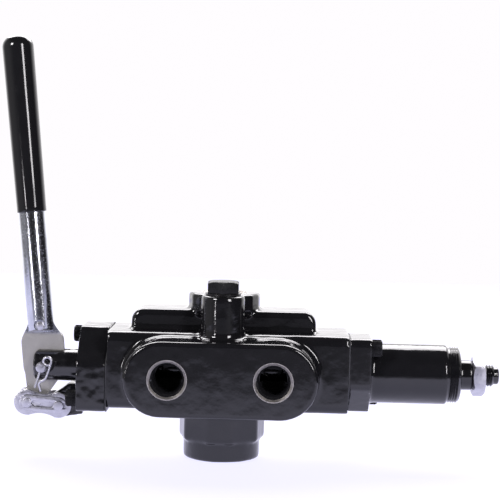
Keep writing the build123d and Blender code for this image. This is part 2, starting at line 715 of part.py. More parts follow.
poppet_tip = relief_seat_top - 1.6
poppet_shoulder = relief_seat_top + poppet_height - poppet_cone
with BuildPart() as relief_spring:
    mean_r = poppet_r - relief_wire / 2 - 0.1
    spring_top = shim_top - 2 * (shim_thickness + 0.02) - 0.05
    coil((0, relief_y, 0), (0, 0, 1), mean_r, relief_wire, 5.5, poppet_shoulder + 0.05, spring_top)
save(relief_spring, "relief_spring")

with BuildPart() as relief_poppet:
    slope_r = relief_seat_hole_r - poppet_gap
    tip_r = slope_r - 0.9
    poppet = [(0, poppet_tip), (tip_r, poppet_tip), (slope_r, relief_seat_top)]
    poppet += [(poppet_r, relief_seat_top + 2.2), (poppet_r, poppet_shoulder)]
    poppet += [(poppet_stem_r, poppet_shoulder), (poppet_stem_r, poppet_shoulder + 3)]
    poppet.append((0, poppet_shoulder + 3))
    turn_upright(0, relief_y, poppet)
save(relief_poppet, "relief_poppet")

with BuildPart() as relief_seat:
    seat_span = (relief_seat_top - relief_seat_height, relief_seat_top)
    turn_upright(0, relief_y, ring(relief_seat_hole_r, relief_bore_r - loose_fit, *seat_span))
save(relief_seat, "relief_seat")

# ================================================================== spool
with BuildPart() as spool:
    land = [(0, spool_left), (spool_r - land_chamfer, spool_left), (spool_r, spool_left + land_chamfer)]
    grooves = [(-side_groove_far, -side_groove_near), (-centre_groove_half, centre_groove_half)]
    grooves += [(side_groove_near, side_groove_far)]
    for start, end in grooves:
        land += [(spool_r, start), (groove_r, start + land_chamfer)]
        land += [(groove_r, end - land_chamfer), (spool_r, end)]
    land += [(spool_r, spool_right), (0, spool_right)]
    turn_spool(land)
    # clevis slot for the lever's blade, and the ears rounded in side view
    slot_bottom = pin_x + clevis_depth
    with BuildSketch(Plane.XZ):
        with Locations(((spool_left - 1 + slot_bottom) / 2, spool_z)):
            Rectangle(slot_bottom - spool_left + 1, 4 * spool_r)
    extrude(amount=clevis_slot / 2, both=True, mode=Mode.SUBTRACT)
    with BuildSketch(Plane.XZ):
        with Locations(((spool_left + spool_right) / 2, spool_z)):
            RectangleRounded(spool_right - spool_left, 2 * spool_r + 0.02, clevis_corner)
        with Locations((spool_right - clevis_corner, spool_z)):
            Rectangle(2 * clevis_corner, 2 * spool_r + 0.02)
    extrude(amount=2 * spool_r, both=True, mode=Mode.INTERSECT)
    turn_cross(pin_x, spool_z, rod(pin_r + running_fit, -2 * spool_r, 2 * spool_r), Mode.SUBTRACT)
    # tapped end for the tail screw
    turn_spool(rod(tail_thread_r + loose_fit, spool_right - tail_thread - 1, spool_right + 1), Mode.SUBTRACT)
save(spool, "spool")

with BuildPart() as spool_tail:
    carrier_thread = 7.0
    tail = [(0, spool_right - tail_thread), (tail_thread_r, spool_right - tail_thread)]
    tail += [(tail_thread_r, spool_right), (tail_r, spool_right), (tail_r, tail_end)]
    tail += [(tail_thread_r, tail_end), (tail_thread_r, tail_end + carrier_thread)]
    tail += [(0, tail_end + carrier_thread)]
    turn_spool(tail)
save(spool_tail, "spool_tail")

ball_height = sleeve_inner_r - ball_gap - ball_r
with BuildPart() as detent_ball_carrier:
    turn_spool(rod(carrier_r, tail_end, carrier_end))
    turn_spool(rod(tail_thread_r + loose_fit, tail_end - 1, tail_end + carrier_thread), Mode.SUBTRACT)
    turn_spool(rod(cone_bore_r, tail_end + carrier_thread + 0.4, carrier_end + 1), Mode.SUBTRACT)
    ball_span = (spool_z - 2 * carrier_r, spool_z + 2 * carrier_r)
    turn_upright(ball_x, 0, rod(ball_r + loose_fit, *ball_span), Mode.SUBTRACT)
save(detent_ball_carrier, "detent_ball_carrier")

with BuildPart() as detent_balls:
    with Locations((ball_x, 0, spool_z + ball_height), (ball_x, 0, spool_z - ball_height)):
        Sphere(ball_r)
save(detent_balls, "detent_balls")

with BuildPart() as detent_cone:
    flange_start = carrier_end + 0.5
    cone_tip = ball_x - 0.6
    shank_r = cone_bore_r - loose_fit
    cone = [(0, cone_tip), (2.2, cone_tip), (shank_r, cone_tip + 4.6), (shank_r, flange_start)]
    cone += [(cone_flange_r, flange_start), (cone_flange_r, cone_back), (cone_pilot_r, cone_back)]
    cone += [(cone_pilot_r, cone_back + cone_pilot), (0, cone_back + cone_pilot)]
    turn_spool(cone)
save(detent_cone, "detent_cone")

cotter_direction = (cos(radians(cotter_angle)), 0, sin(radians(cotter_angle)))
with BuildPart() as clevis_pin:
    head_start = spool_r + 0.2
    pin = [(0, head_start + pin_head), (pin_head_r, head_start + pin_head), (pin_head_r, head_start)]
    pin += [(pin_r, head_start), (pin_r, pin_front + 0.8), (pin_r - 0.8, pin_front), (0, pin_front)]
    turn_cross(pin_x, spool_z, pin)
    with BuildSketch(Plane((pin_x, cotter_y, spool_z), x_dir=(0, 1, 0), z_dir=cotter_direction)):
        Circle(cotter_wire_r + cotter_fit)
    extrude(amount=2 * pin_r, both=True, mode=Mode.SUBTRACT)
save(clevis_pin, "clevis_pin")

cotter_plane = Plane((pin_x, cotter_y, spool_z), x_dir=(1, 0, 0), z_dir=(0, -1, 0))
with BuildPart() as hairpin_cotter:
    along = (cos(radians(cotter_angle)), sin(radians(cotter_angle)))
    bend = (
        cotter_bend_at * along[0] + cotter_bend_r * along[1],
        cotter_bend_at * along[1] - cotter_bend_r * along[0],
    )
    with BuildLine(cotter_plane) as cotter_line:
        leg_end = (-cotter_leg * along[0], -cotter_leg * along[1])
        leg = Line(leg_end, (cotter_bend_at * along[0], cotter_bend_at * along[1]))
        CenterArc(bend, cotter_bend_r, cotter_angle + 90, -180)
        back = (bend[0] + cotter_bend_r * along[1], bend[1] - cotter_bend_r * along[0])
        knee = (back[0] - 9.4 * along[0], back[1] - 9.4 * along[1])
        FilletPolyline(back, knee, (-0.3, -8.6), (0.5, -13.4), radius=1.6)
    with BuildSketch(Plane(cotter_line.line @ 0, z_dir=cotter_line.line % 0)):
        Circle(cotter_wire_r)
    sweep(path=cotter_line.line)
save(hairpin_cotter, "hairpin_cotter")


# ================================================================== lever
def across_lever(height):
    """Plane square to the lever's tube, at a height above the clevis pin."""
    centre = Vector(pin_x, 0, spool_z) + Vector(*lever_up) * height
    return Plane(centre, x_dir=lever_across, z_dir=lever_up)


def in_lever(x, z):
    """A place given from the clevis pin, in the lever's own leaning axes."""
    return (x * cos(lean) + z * sin(lean), z * cos(lean) - x * sin(lean))


link_pin_in_lever = in_lever(*link_left)
lever_pin_hole = (link_pin_in_lever[0] + lever_hole_shift[0], link_pin_in_lever[1] + lever_hole_shift[1])
lever_arm = hypot(*link_left)
lever_hole_r = link_pin_r + lever_hole_play
tail_side = (-link_pin_in_lever[1] / lever_arm, link_pin_in_lever[0] / lever_arm)
with BuildPart() as lever:
    with BuildSketch(across_lever(tube_bottom)):
        Circle(tube_r)
    extrude(amount=tube_top - tube_bottom)
    with BuildSketch(across_lever(blade_top)):
        RectangleRounded(blade_width, blade_thickness, blade_thickness / 2 - 0.1)
    with BuildSketch(across_lever(tube_bottom)):
        Circle(tube_r)
    loft()
    with BuildSketch(lever_plane) as blade:
        Circle(blade_width / 2)
        with Locations((0, blade_top / 2)):
            Rectangle(blade_width, blade_top)
        with BuildLine():
            root = (tail_side[0] * blade_tail, tail_side[1] * blade_tail)
            foot = (tail_side[0] * foot_r, tail_side[1] * foot_r)
            near, far = (-root[0], -root[1]), (link_pin_in_lever[0] - foot[0], link_pin_in_lever[1] - foot[1])
            Polyline(root, near, far, (far[0] + 2 * foot[0], far[1] + 2 * foot[1]), close=True)
        make_face()
        with Locations(link_pin_in_lever):
            Circle(foot_r)
    extrude(amount=blade_thickness / 2, both=True)
    with BuildSketch(across_lever(tube_bottom + 2)):
        Circle(tube_r - tube_wall)
    extrude(amount=tube_top, mode=Mode.SUBTRACT)
    with BuildSketch(lever_plane):
        Circle(pin_r + running_fit)
        with Locations(lever_pin_hole):
            Circle(lever_hole_r)
    extrude(amount=blade_thickness, both=True, mode=Mode.SUBTRACT)
    with BuildSketch(lever_plane):
        with Locations((0, rivet_height)):
            Circle(rivet_shank_r + loose_fit)
    extrude(amount=2 * tube_r, both=True, mode=Mode.SUBTRACT)
    # spot faces that the rivet's heads bear on
    rivet_centre = Vector(pin_x, 0, spool_z) + Vector(*lever_up) * rivet_height
    for side in (-1, 1):
        span = sorted((side * rivet_head_at, side * 2 * tube_r))
        turn_cross(rivet_centre.X, rivet_centre.Z, rod(rivet_r + loose_fit, *span), Mode.SUBTRACT)
save(lever, "lever")

with BuildPart() as lever_rivet:
    rivet = [(0, -rivet_head_at - rivet_dome), (rivet_r * 0.6, -rivet_head_at - rivet_dome)]
    rivet += [(rivet_r, -rivet_head_at), (rivet_shank_r, -rivet_head_at), (rivet_shank_r, rivet_head_at)]
    rivet += [(rivet_r, rivet_head_at), (rivet_r * 0.6, rivet_head_at + rivet_dome)]
    rivet += [(0, rivet_head_at + rivet_dome)]
    turn_cross(rivet_centre.X, rivet_centre.Z, rivet)
save(lever_rivet, "lever_rivet")

with BuildPart() as grip:
    inner = tube_r + loose_fit
    with BuildSketch(lever_plane):
        with BuildLine():
            shoulder = (grip_top_r, grip_top - grip_crown)
            crown_inner = (grip_top_r - grip_crown, grip_top)
            Line((inner, grip_bottom), (grip_bottom_r, grip_bottom))
            Line((grip_bottom_r, grip_bottom), shoulder)
            RadiusArc(shoulder, crown_inner, -grip_crown)
            Line(crown_inner, (0, grip_top))
            Polyline((0, grip_top), (0, tube_top + 0.3), (inner, tube_top + 0.3), (inner, grip_bottom))
        make_face()
    revolve(axis=Axis((pin_x, 0, spool_z), lever_up))
save(grip, "grip")

# ================================================================== chain link
link_centre = (
    (link_pin_left[0] + link_pin_right[0]) / 2,
    (link_pin_left[1] + link_pin_right[1]) / 2,
)


def link_plane(y):
    """Plane of a link plate, along the line of its two pins, facing the front."""
    tilt = radians(link_tilt)
    return Plane((link_centre[0], y, link_centre[1]), x_dir=(cos(tilt), 0, sin(tilt)), z_dir=(0, -1, 0))


def link_plate_at(y, hole_r):
    """One figure-of-eight plate, from y towards the front."""
    with BuildSketch(link_plane(y)) as plate:
        with GridLocations(link_pitch, 0, 2, 1):
            Circle(link_plate_r)
        Rectangle(link_pitch, 2 * link_plate_r)
        with GridLocations(0, link_waist + 2 * link_waist_r, 1, 2):
            Circle(link_waist_r, mode=Mode.SUBTRACT)
        with GridLocations(link_pitch, 0, 2, 1):
            Circle(hole_r, mode=Mode.SUBTRACT)
    extrude(plate.sketch, amount=link_plate)


with BuildPart() as link_plate_front:
    link_plate_at(-link_half_gap, link_pin_r + loose_fit)
save(link_plate_front, "link_plate_front")

with BuildPart() as link_plate_rear:
    link_plate_at(link_half_gap + link_plate, link_pin_r + 0.01)
save(link_plate_rear, "link_plate_rear")

with BuildPart() as link_pins:
    plate_front = -link_half_gap - link_plate
    neck_end_y = plate_front - link_neck
    for x, z in (link_pin_left, link_pin_right):
        body_end = link_half_gap + link_plate
        pin = [(0, body_end + link_pin_rivet), (link_pin_r - 0.6, body_end + link_pin_rivet)]
        pin += [(link_pin_r, body_end + link_pin_rivet - 0.6), (link_pin_r, plate_front)]
        pin += [(link_neck_r, plate_front), (link_neck_r, neck_end_y), (link_pin_r, neck_end_y)]
        pin += [(link_pin_r, neck_end_y - link_pin_tip), (0, neck_end_y - link_pin_tip)]
        turn_cross(x, z, pin)
save(link_pins, "link_pins")

with BuildPart() as link_spring_clip:
    with BuildSketch(link_plane(-link_half_gap - link_plate - 0.1)):
        SlotCenterToCenter(link_pitch, 2 * clip_half_width)
        with GridLocations(link_pitch, 0, 2, 1):
            Circle(link_neck_r + loose_fit, mode=Mode.SUBTRACT)
        with Locations((link_pitch / 4, 0)):
            Rectangle(link_pitch / 2, clip_mouth / 2, mode=Mode.SUBTRACT)
        with Locations((link_pitch / 2 + clip_half_width, 0)):
            Rectangle(2 * clip_half_width, clip_mouth, mode=Mode.SUBTRACT)
        SlotCenterToCenter(link_pitch - 9.5, clip_mouth, mode=Mode.SUBTRACT)
    extrude(amount=clip_thickness)
save(link_spring_clip, "link_spring_clip")

with BuildPart() as link_spacers:
    inner_face = blade_thickness / 2 + side_play
    for start, end in ((-link_half_gap + 0.1, -inner_face), (inner_face, link_half_gap - 0.1)):
        turn_cross(*link_pin_left, ring(link_pin_r + loose_fit, spacer_r, start, end))
save(link_spacers, "link_spacers")

# room left at the pivot where the four-bar is opened, over the spool's travel
start_angle = asin(-link_left[0] / lever_arm)
for share in (-1.0, -0.5, 0.5, 1.0):
    slide = share * stroke
    angle = asin((slide - link_left[0]) / lever_arm)
    rise = lever_arm * (cos(start_angle) - cos(angle))
    lean = degrees(angle - start_angle)
    print(f"spool {slide:+.1f} mm: lever {lean:+.2f} deg, link pin rises {rise:+.2f} mm")
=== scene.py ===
"""The looks of a hydraulic monoblock valve with a hand lever, laid out as a Blender add-on.

Sizes in the code are millimetres in the valve's own frame: +X along the spool towards the detent
housing, +Y to the back and +Z up from the inlet face. They become metres where a mesh is made.
"""

import json
from math import asin, cos, pi, radians, sin, tau

import bmesh
import bpy
from mathutils import Matrix, Vector, noise

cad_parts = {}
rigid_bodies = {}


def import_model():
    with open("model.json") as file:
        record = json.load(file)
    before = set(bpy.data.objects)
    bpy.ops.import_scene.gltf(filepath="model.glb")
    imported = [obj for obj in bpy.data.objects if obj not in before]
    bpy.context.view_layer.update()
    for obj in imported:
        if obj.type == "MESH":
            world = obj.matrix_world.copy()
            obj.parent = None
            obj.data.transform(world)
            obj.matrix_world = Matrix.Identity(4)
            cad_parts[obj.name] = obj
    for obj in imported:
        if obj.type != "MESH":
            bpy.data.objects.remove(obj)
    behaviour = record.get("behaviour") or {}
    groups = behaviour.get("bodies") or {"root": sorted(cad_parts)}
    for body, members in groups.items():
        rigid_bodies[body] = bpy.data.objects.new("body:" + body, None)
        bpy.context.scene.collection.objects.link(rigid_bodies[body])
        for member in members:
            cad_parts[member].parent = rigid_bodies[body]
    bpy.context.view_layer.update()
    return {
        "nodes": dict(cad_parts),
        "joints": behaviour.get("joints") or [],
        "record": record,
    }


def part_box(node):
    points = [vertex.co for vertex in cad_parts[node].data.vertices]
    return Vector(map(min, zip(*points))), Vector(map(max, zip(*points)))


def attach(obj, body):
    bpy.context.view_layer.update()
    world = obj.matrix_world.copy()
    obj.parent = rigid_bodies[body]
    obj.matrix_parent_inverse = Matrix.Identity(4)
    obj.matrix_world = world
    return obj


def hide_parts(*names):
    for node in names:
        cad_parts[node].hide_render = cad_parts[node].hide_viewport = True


bl_info = {
    "name": "Hydraulic monoblock valve",
    "version": (1, 0, 0),
    "blender": (4, 5, 0),
    "location": "3D View > Sidebar > Valve",
    "description": "Builds the finished pieces of a hand-operated monoblock valve round its frame",
    "category": "Object",
}

for leftover in list(bpy.data.objects):
    bpy.data.objects.remove(leftover)
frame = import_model()

MM = 0.001
ACROSS_X, ACROSS_Y, UPRIGHT = Vector((1, 0, 0)), Vector((0, 1, 0)), Vector((0, 0, 1))


def box_mm(node):
    """Lowest and highest corner of a node of the frame, in millimetres."""
    low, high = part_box(node)
    return low / MM, high / MM


def middle(node):
    """Middle of a node's box, in millimetres."""
    low, high = box_mm(node)
    return (low + high) / 2


spool_low, spool_high = box_mm("spool")
SPOOL_R = (spool_high.y - spool_low.y) / 2
SPOOL_Z = (spool_low.z + spool_high.z) / 2
body_low, body_high = box_mm("valve_body")
cap_low, cap_high = box_mm("end_cap_left")
nut_low = box_mm("jam_nut")[0]
stud_low, stud_high = box_mm("adjust_screw")
PIN = middle("clevis_pin")
mounts = {mount["name"]: Vector(mount["pos_m"]) / MM for mount in frame["record"]["mounts"]}

# ports: face, direction into the casting, thread radius, mouth radius, thread depth, bore behind it
MOUTH_DEPTH = 1.8
PORT_PITCH = 25.4 / 14
outlet_top = mounts["outlet_port"].z + 10.6
left_port, right_port = mounts["work_port_left"], mounts["work_port_right"]
WORK_PORT, MAIN_PORT = (9.4, 11.4, 16.0), (11.8, 13.8, 18.0)
PORTS = {
    "work_port_left": (Vector((left_port.x, body_low.y, left_port.z)), ACROSS_Y, *WORK_PORT, 36.0),
    "work_port_right": (Vector((right_port.x, body_low.y, right_port.z)), ACROSS_Y, *WORK_PORT, 36.0),
    "inlet_port": (Vector((0, 0, body_low.z)), UPRIGHT, *MAIN_PORT, 44.0),
    "outlet_port": (Vector((0, mounts["outlet_port"].y, outlet_top)), -UPRIGHT, *MAIN_PORT, 26.0),
}
link_swing = next(joint for joint in frame["joints"] if joint["name"] == "link_swing")
LINK_PIVOT = Vector(link_swing["pos_m"]) / MM
LINK_PIN_LEFT = 2 * middle("link_pins") - LINK_PIVOT
SLOT_OF = {part["node"]: part["material_slot"] for part in frame["record"]["subparts"]}

# lever, in its own axes from the clevis pin: X across, Y to the back and Z up its tube
LEVER_LEAN = radians(5.6)
LEVER_PLACE = Matrix.Translation(Vector((PIN.x, 0, SPOOL_Z))) @ Matrix.Rotation(-LEVER_LEAN, 4, "Y")
TUBE_R = 8.0
BLADE_HALF = 2.2
RIVET_HEIGHT = 24.3


# ------------------------------------------------------------------ node trees
class Wire:
    """An output socket of a node tree. Sums and products of wires become Math nodes."""

    def __init__(self, graph, socket):
        self.graph, self.socket = graph, socket

    def maths(self, operation, first, second):
        return self.graph.node("ShaderNodeMath", {"operation": operation}, {0: first, 1: second})

    def __add__(self, other):
        return self.maths("ADD", self, other)

    def __sub__(self, other):
        return self.maths("SUBTRACT", self, other)

    def __rsub__(self, other):
        return self.maths("SUBTRACT", other, self)

    def __mul__(self, other):
        return self.maths("MULTIPLY", self, other)

    __radd__, __rmul__ = __add__, __mul__


class Graph:
    """A node tree that is being written."""

    def __init__(self, tree):
        self.tree = tree

    def feed(self, socket, value):
        if isinstance(value, Wire):
            self.tree.links.new(value.socket, socket)
        else:
            socket.default_value = value

    def node(self, kind, settings=None, sockets=None, output=0):
        """Add a node: its settings first, then the values or wires of its sockets."""
        made = self.tree.nodes.new(kind)
        for key, value in (settings or {}).items():
            setattr(made, key, value)
        for key, value in (sockets or {}).items():
            self.feed(made.inputs[key], value)
        return Wire(self, made.outputs[output])


class Finish(Graph):
    """A surface finish: the shader's constants, and then what varies over the surface."""

    def __init__(self, name, constants):
        self.material = bpy.data.materials.new(name + "_finish")
        self.material.use_nodes = True
        super().__init__(self.material.node_tree)
        self.shader = self.tree.nodes["Principled BSDF"]
        for key, value in constants.items():
            self.shader.inputs[key].default_value = value
        self.place = self.node("ShaderNodeTexCoord", output="Object")

    def grain(self, size, detail=2.0, stretch=(1, 1, 1)):
        """Noise from 0 to 1 with lumps of that size in millimetres."""
        scaled = {"Vector": self.place, "Scale": stretch}
        place = self.node("ShaderNodeMapping", {"vector_type": "POINT"}, scaled)
        lumps = {"Vector": place, "Scale": 1 / (size * MM), "Detail": detail}
        return self.node("ShaderNodeTexNoise", {}, lumps)

    def span(self, value, low, high, start=0.3, end=0.7):
        """Value stretched from start..end to low..high."""
        ends = {"Value": value, "From Min": start, "From Max": end, "To Min": low, "To Max": high}
        return self.node("ShaderNodeMapRange", {}, ends)

    def blend(self, share, first, second):
        """Colour between two colours; the first may be a wire."""
        ends = {0: share, 6: first if isinstance(first, Wire) else (*first, 1), 7: (*second, 1)}
        return self.node("ShaderNodeMix", {"data_type": "RGBA"}, ends, output=2)

    def vary(self, socket, wire):
        self.feed(self.shader.inputs[socket], wire)

    def relief(self, height, depth):
        """Bumps as deep as that many millimetres."""
        bump = self.node("ShaderNodeBump", {}, {"Height": height, "Distance": depth * MM})
        self.vary("Normal", bump)


# ------------------------------------------------------------------ finishes
def cast_black(colours):
    """Gloss black enamel over rough casting: the surface flows in soft lumps."""
    paint = Finish("cast_black", {"Coat Weight": 0.2, "Coat Roughness": 0.03, "Specular IOR Level": 0.5})
    dark = tuple(colours.paint)
    paint.vary("Base Color", paint.blend(paint.grain(9, 3), dark, tuple(c * 1.6 for c in dark)))
    paint.vary("Roughness", paint.span(paint.grain(5, 3), 0.06, 0.14))
    paint.relief(paint.grain(6.5, 1.0) + 0.5 * paint.grain(2.6, 1), colours.orange_peel * 1000)
    return paint.material


def black_steel(colours):
    """Black enamel over machined steel, with faint turning marks under it; on the port threads the same dark
    finish is painted shade inside the ports.
    """
    paint = Finish("black_steel", {"Coat Weight": 0.3, "Coat Roughness": 0.05, "Specular IOR Level": 0.6})
    dark = tuple(colours.paint)
    paint.vary("Base Color", paint.blend(paint.grain(6, 3), dark, tuple(c * 1.8 for c in dark)))
    paint.vary("Roughness", paint.span(paint.grain(3, 3), 0.1, 0.2))
    paint.relief(paint.grain(4, 2) + 0.1 * paint.grain(0.6, 2, (1, 0.2, 0.2)), 0.06)
    return paint.material


def screw_black(colours):
    """Black oxide on alloy steel screws, slightly oily."""
    oxide = Finish("screw_black", {"Specular IOR Level": 0.2})
    oxide.vary("Base Color", oxide.blend(oxide.grain(1.5, 4), (0.004, 0.004, 0.005), (0.014, 0.014, 0.015)))
    oxide.vary("Roughness", oxide.span(oxide.grain(0.8, 4), 0.22, 0.4))
    oxide.relief(oxide.grain(0.4, 3), 0.02)
    return oxide.material


def plated(name, colour, rough, cloud_size, matt_below=None):
    """Zinc plating: bright, with cloudy patches and a fine rolled grain."""
    plate = Finish(name, {"Metallic": 1.0})
    shade = tuple(c * 0.8 for c in colour)
    tint = plate.blend(plate.span(plate.grain(cloud_size, 4), 0, 1), shade, tuple(colour))
    specks = plate.span(plate.grain(0.9, 3), 0, 0.14, 0.52, 0.7)
    dullness = plate.span(plate.grain(cloud_size / 2, 3), rough * 0.75, rough * 1.25) + specks
    if matt_below:
        height = plate.node("ShaderNodeSeparateXYZ", {}, {0: plate.place}, output=2)
        matt = plate.span(height, 1, 0, (matt_below - 1) * MM, (matt_below + 1) * MM)
        tint = plate.blend(matt, tint, (0.44, 0.43, 0.41))
        dullness = dullness + 0.3 * matt
    plate.vary("Base Color", tint)
    plate.vary("Roughness", dullness)
    plate.relief(plate.grain(2.2, 3) + 0.15 * plate.grain(0.35, 2), 0.01)
    return plate.material


def zinc(colours):
    return plated("zinc", colours.zinc, 0.34, 4.0)


def lever_zinc(colours):
    """Bright plating on the lever's tube, and matt on the pressed blade below its step."""
    return plated("lever_zinc", tuple(colours.lever), 0.17, 7.0, SPOOL_Z + 19.0)


def vinyl(colours):
    """Dipped vinyl: a thick glossy skin with slow waves and fine pits."""
    skin = Finish("vinyl", {"Coat Weight": 0.1, "Coat Roughness": 0.05})
    dark = tuple(colours.grip)
    skin.vary("Base Color", skin.blend(skin.grain(12, 2), dark, tuple(c * 1.5 for c in dark)))
    skin.vary("Roughness", skin.span(skin.grain(2.5, 4), 0.08, 0.14))
    skin.relief(skin.grain(14, 1) + 0.004 * skin.grain(0.7, 2), 0.12)
    return skin.material


def ground_steel(colours):
    """Bare machined steel with tool marks."""
    steel = Finish("ground_steel", {"Metallic": 1.0})
    steel.vary("Base Color", steel.blend(steel.grain(3, 4), (0.26, 0.24, 0.22), (0.66, 0.63, 0.6)))
    steel.vary("Roughness", steel.span(steel.grain(1.2, 4), 0.34, 0.5))
    steel.relief(steel.grain(0.3, 2), 0.01)
    return steel.material


def spring_steel(colours):
    """Drawn spring wire with a dark temper."""
    wire = Finish("spring_steel", {"Metallic": 1.0})
    wire.vary("Base Color", wire.blend(wire.grain(1.5, 3), (0.16, 0.15, 0.14), (0.34, 0.33, 0.32)))
    wire.vary("Roughness", wire.span(wire.grain(0.5, 3), 0.24, 0.4))
    wire.relief(wire.grain(0.25, 2), 0.008)
    return wire.material


def seal_rubber(colours):
    """Nitrile rubber, matt and faintly dusty."""
    rubber = Finish("seal_rubber", {"Roughness": 0.6})
    rubber.vary("Base Color", rubber.blend(rubber.grain(0.8, 4), (0.012, 0.012, 0.012), (0.03, 0.03, 0.03)))
    rubber.vary("Roughness", rubber.span(rubber.grain(0.5, 3), 0.5, 0.75))
    rubber.relief(rubber.grain(0.3, 3), 0.02)
    return rubber.material


def gasket_grey(colours):
    """Fibre gasket whose edge was painted over with the casting."""
    fibre = Finish("gasket_grey", {})
    fibre.vary("Base Color", fibre.blend(fibre.grain(0.5, 4), (0.01, 0.01, 0.012), (0.045, 0.045, 0.05)))
    fibre.vary("Roughness", fibre.span(fibre.grain(0.7, 3), 0.25, 0.6))
    fibre.relief(fibre.grain(0.3, 4), 0.06)
    return fibre.material


def copper_washer(colours):
    """Soft copper sealing washer, painted over with the casting but rubbed at its edge."""
    copper = Finish("copper_washer", {"Metallic": 0.4})
    rubbed = copper.span(copper.grain(1.2, 4), 0, 1, 0.5, 0.75)
    copper.vary("Base Color", copper.blend(rubbed, (0.008, 0.008, 0.009), (0.03, 0.022, 0.02)))
    copper.vary("Roughness", copper.span(copper.grain(0.6, 3), 0.18, 0.4))
    copper.relief(copper.grain(0.6, 3), 0.02)
    return copper.material


FINISHES = {
    maker.__name__: maker
    for maker in (
        cast_black, black_steel, screw_black, zinc, lever_zinc, vinyl,
        ground_steel, spring_steel, seal_rubber, gasket_grey, copper_washer,
    )
}


def finish(slot):
    """The finish of a material slot, made the first time it is asked for."""
    return bpy.data.materials.get(slot + "_finish") or FINISHES[slot](bpy.context.scene.valve_colours)


# ------------------------------------------------------------------ shapes
def piece_of(name, mesh):
    """A new object that shows a mesh."""
    piece = bpy.data.objects.new(name, mesh)
    bpy.context.scene.collection.objects.link(piece)
    return piece


def from_points(name, points, faces, place=None):
    """A closed piece from points in millimetres, with its faces turned outwards."""
    place = place or Matrix.Identity(4)
    mesh = bpy.data.meshes.new(name)
    mesh.from_pydata([MM * (place @ Vector(point)) for point in points], [], faces)
    shape = bmesh.new()
    shape.from_mesh(mesh)
    bmesh.ops.remove_doubles(shape, verts=shape.verts, dist=1e-7)
    bmesh.ops.recalc_face_normals(shape, faces=shape.faces)
    shape.to_mesh(mesh)
    shape.free()
    return piece_of(name, mesh)


def line_frame(place, along):
    """The frame whose Z axis runs along the line through place."""
    return Matrix.Translation(place) @ along.to_track_quat("Z", "Y").to_matrix().to_4x4()


def turned(name, place, along, outline, around=96, closed=False):
    """A turned piece; its outline is (radius, distance) pairs, closed on itself for a ring."""
    points, rings = [], []
    for radius, distance in outline:
        count = around if radius > 0 else 1
        rings.append(range(len(points), len(points) + count))
        angles = [tau * i / around for i in range(count)]
        points += [(radius * cos(angle), radius * sin(angle), distance) for angle in angles]
    faces = []
    for near, far in list(zip(rings, rings[1:])) + ([(rings[-1], rings[0])] if closed else []):
        for i in range(around):
            j = (i + 1) % around
            corners = [near[i % len(near)], near[j % len(near)], far[j % len(far)], far[i % len(far)]]
            corners = list(dict.fromkeys(corners))
            if len(corners) > 2:
                faces.append(corners)
    return from_points(name, points, faces, line_frame(Vector(place), Vector(along)))


def rod(radius, start, end):
    """Outline of a plain rod or drilled hole."""
    return [(0, start), (radius, start), (radius, end), (0, end)]


def prism(name, outline, place, depth):
    """A flat outline in a frame's X and Y, given thickness along its Z."""
    count = len(outline)
    points = [(x, y, 0) for x, y in outline] + [(x, y, depth) for x, y in outline]
    faces = [range(count), range(count, 2 * count)]
    faces += [(i, (i + 1) % count, count + (i + 1) % count, count + i) for i in range(count)]
    return from_points(name, points, faces, place)


def hexagon(across_flats, turn=0.0):
    """Corners of a hexagon."""
    corner = across_flats / 2 / cos(pi / 6)
    return [(corner * cos(turn + i * pi / 3), corner * sin(turn + i * pi / 3)) for i in range(6)]


def copy_of(name, *nodes):
    """A copy of nodes of the frame, as one mesh with its doubles merged and its flats whole."""
    shape = bmesh.new()
    for node in nodes:
        shape.from_mesh(frame["nodes"][node].data)
    bmesh.ops.remove_doubles(shape, verts=shape.verts, dist=2e-6)
    bmesh.ops.dissolve_limit(shape, angle_limit=radians(0.5), verts=shape.verts, edges=shape.edges)
    mesh = bpy.data.meshes.new(name)
    shape.to_mesh(mesh)
    shape.free()
    return piece_of(name, mesh)


def settle(piece):
    """Make the piece's mesh what its modifiers give, and take them off."""
    bpy.context.view_layer.update()
    mesh = bpy.data.meshes.new_from_object(piece.evaluated_get(bpy.context.evaluated_depsgraph_get()))
    piece.modifiers.clear()
    piece.data = mesh
    return piece


def settle_curve(name, curve):
    """A curve's tube as a plain mesh."""
    line = piece_of(name, curve)
    bpy.context.view_layer.update()
    mesh = bpy.data.meshes.new_from_object(line.evaluated_get(bpy.context.evaluated_depsgraph_get()))
    bpy.data.objects.remove(line)
    return piece_of(name, mesh)


def frame_hole(name, spot, radius):
    """A drill through the lever's blade, at a spot in the lever's own axes."""
    return turned(name, LEVER_PLACE @ Vector((spot.x, 0, spot.z)), ACROSS_Y, rod(radius, -9, 9))


def joined(name, pieces):
    """Several pieces made one mesh."""
    shape = bmesh.new()
    for piece in pieces:
        shape.from_mesh(piece.data)
        bpy.data.objects.remove(piece)
    mesh = bpy.data.meshes.new(name)
    shape.to_mesh(mesh)
    shape.free()
    return piece_of(name, mesh)


def combine(piece, tools, operation="DIFFERENCE"):
    """Cut tools out of a piece, or melt them into it."""
    for tool in tools:
        step = piece.modifiers.new(tool.name, "BOOLEAN")
        step.operation, step.object, step.solver = operation, tool, "MANIFOLD"
    settle(piece)
    for tool in tools:
        bpy.data.objects.remove(tool)
    return piece


def round_edges(piece, width, segments=3, sharper_than=32):
    """Round a piece's edges to that many millimetres."""
    step = piece.modifiers.new("edges", "BEVEL")
    step.width, step.segments, step.limit_method = width * MM, segments, "ANGLE"
    step.angle_limit = radians(sharper_than)
    return settle(piece)


def skinned(piece, voxel, passes):
    """Give a piece one soft skin, as a casting has."""
    skin = piece.modifiers.new("skin", "REMESH")
    skin.mode, skin.voxel_size = "VOXEL", voxel * MM
    soften = piece.modifiers.new("soften", "SMOOTH")
    soften.factor, soften.iterations = 0.5, passes
    return settle(piece)


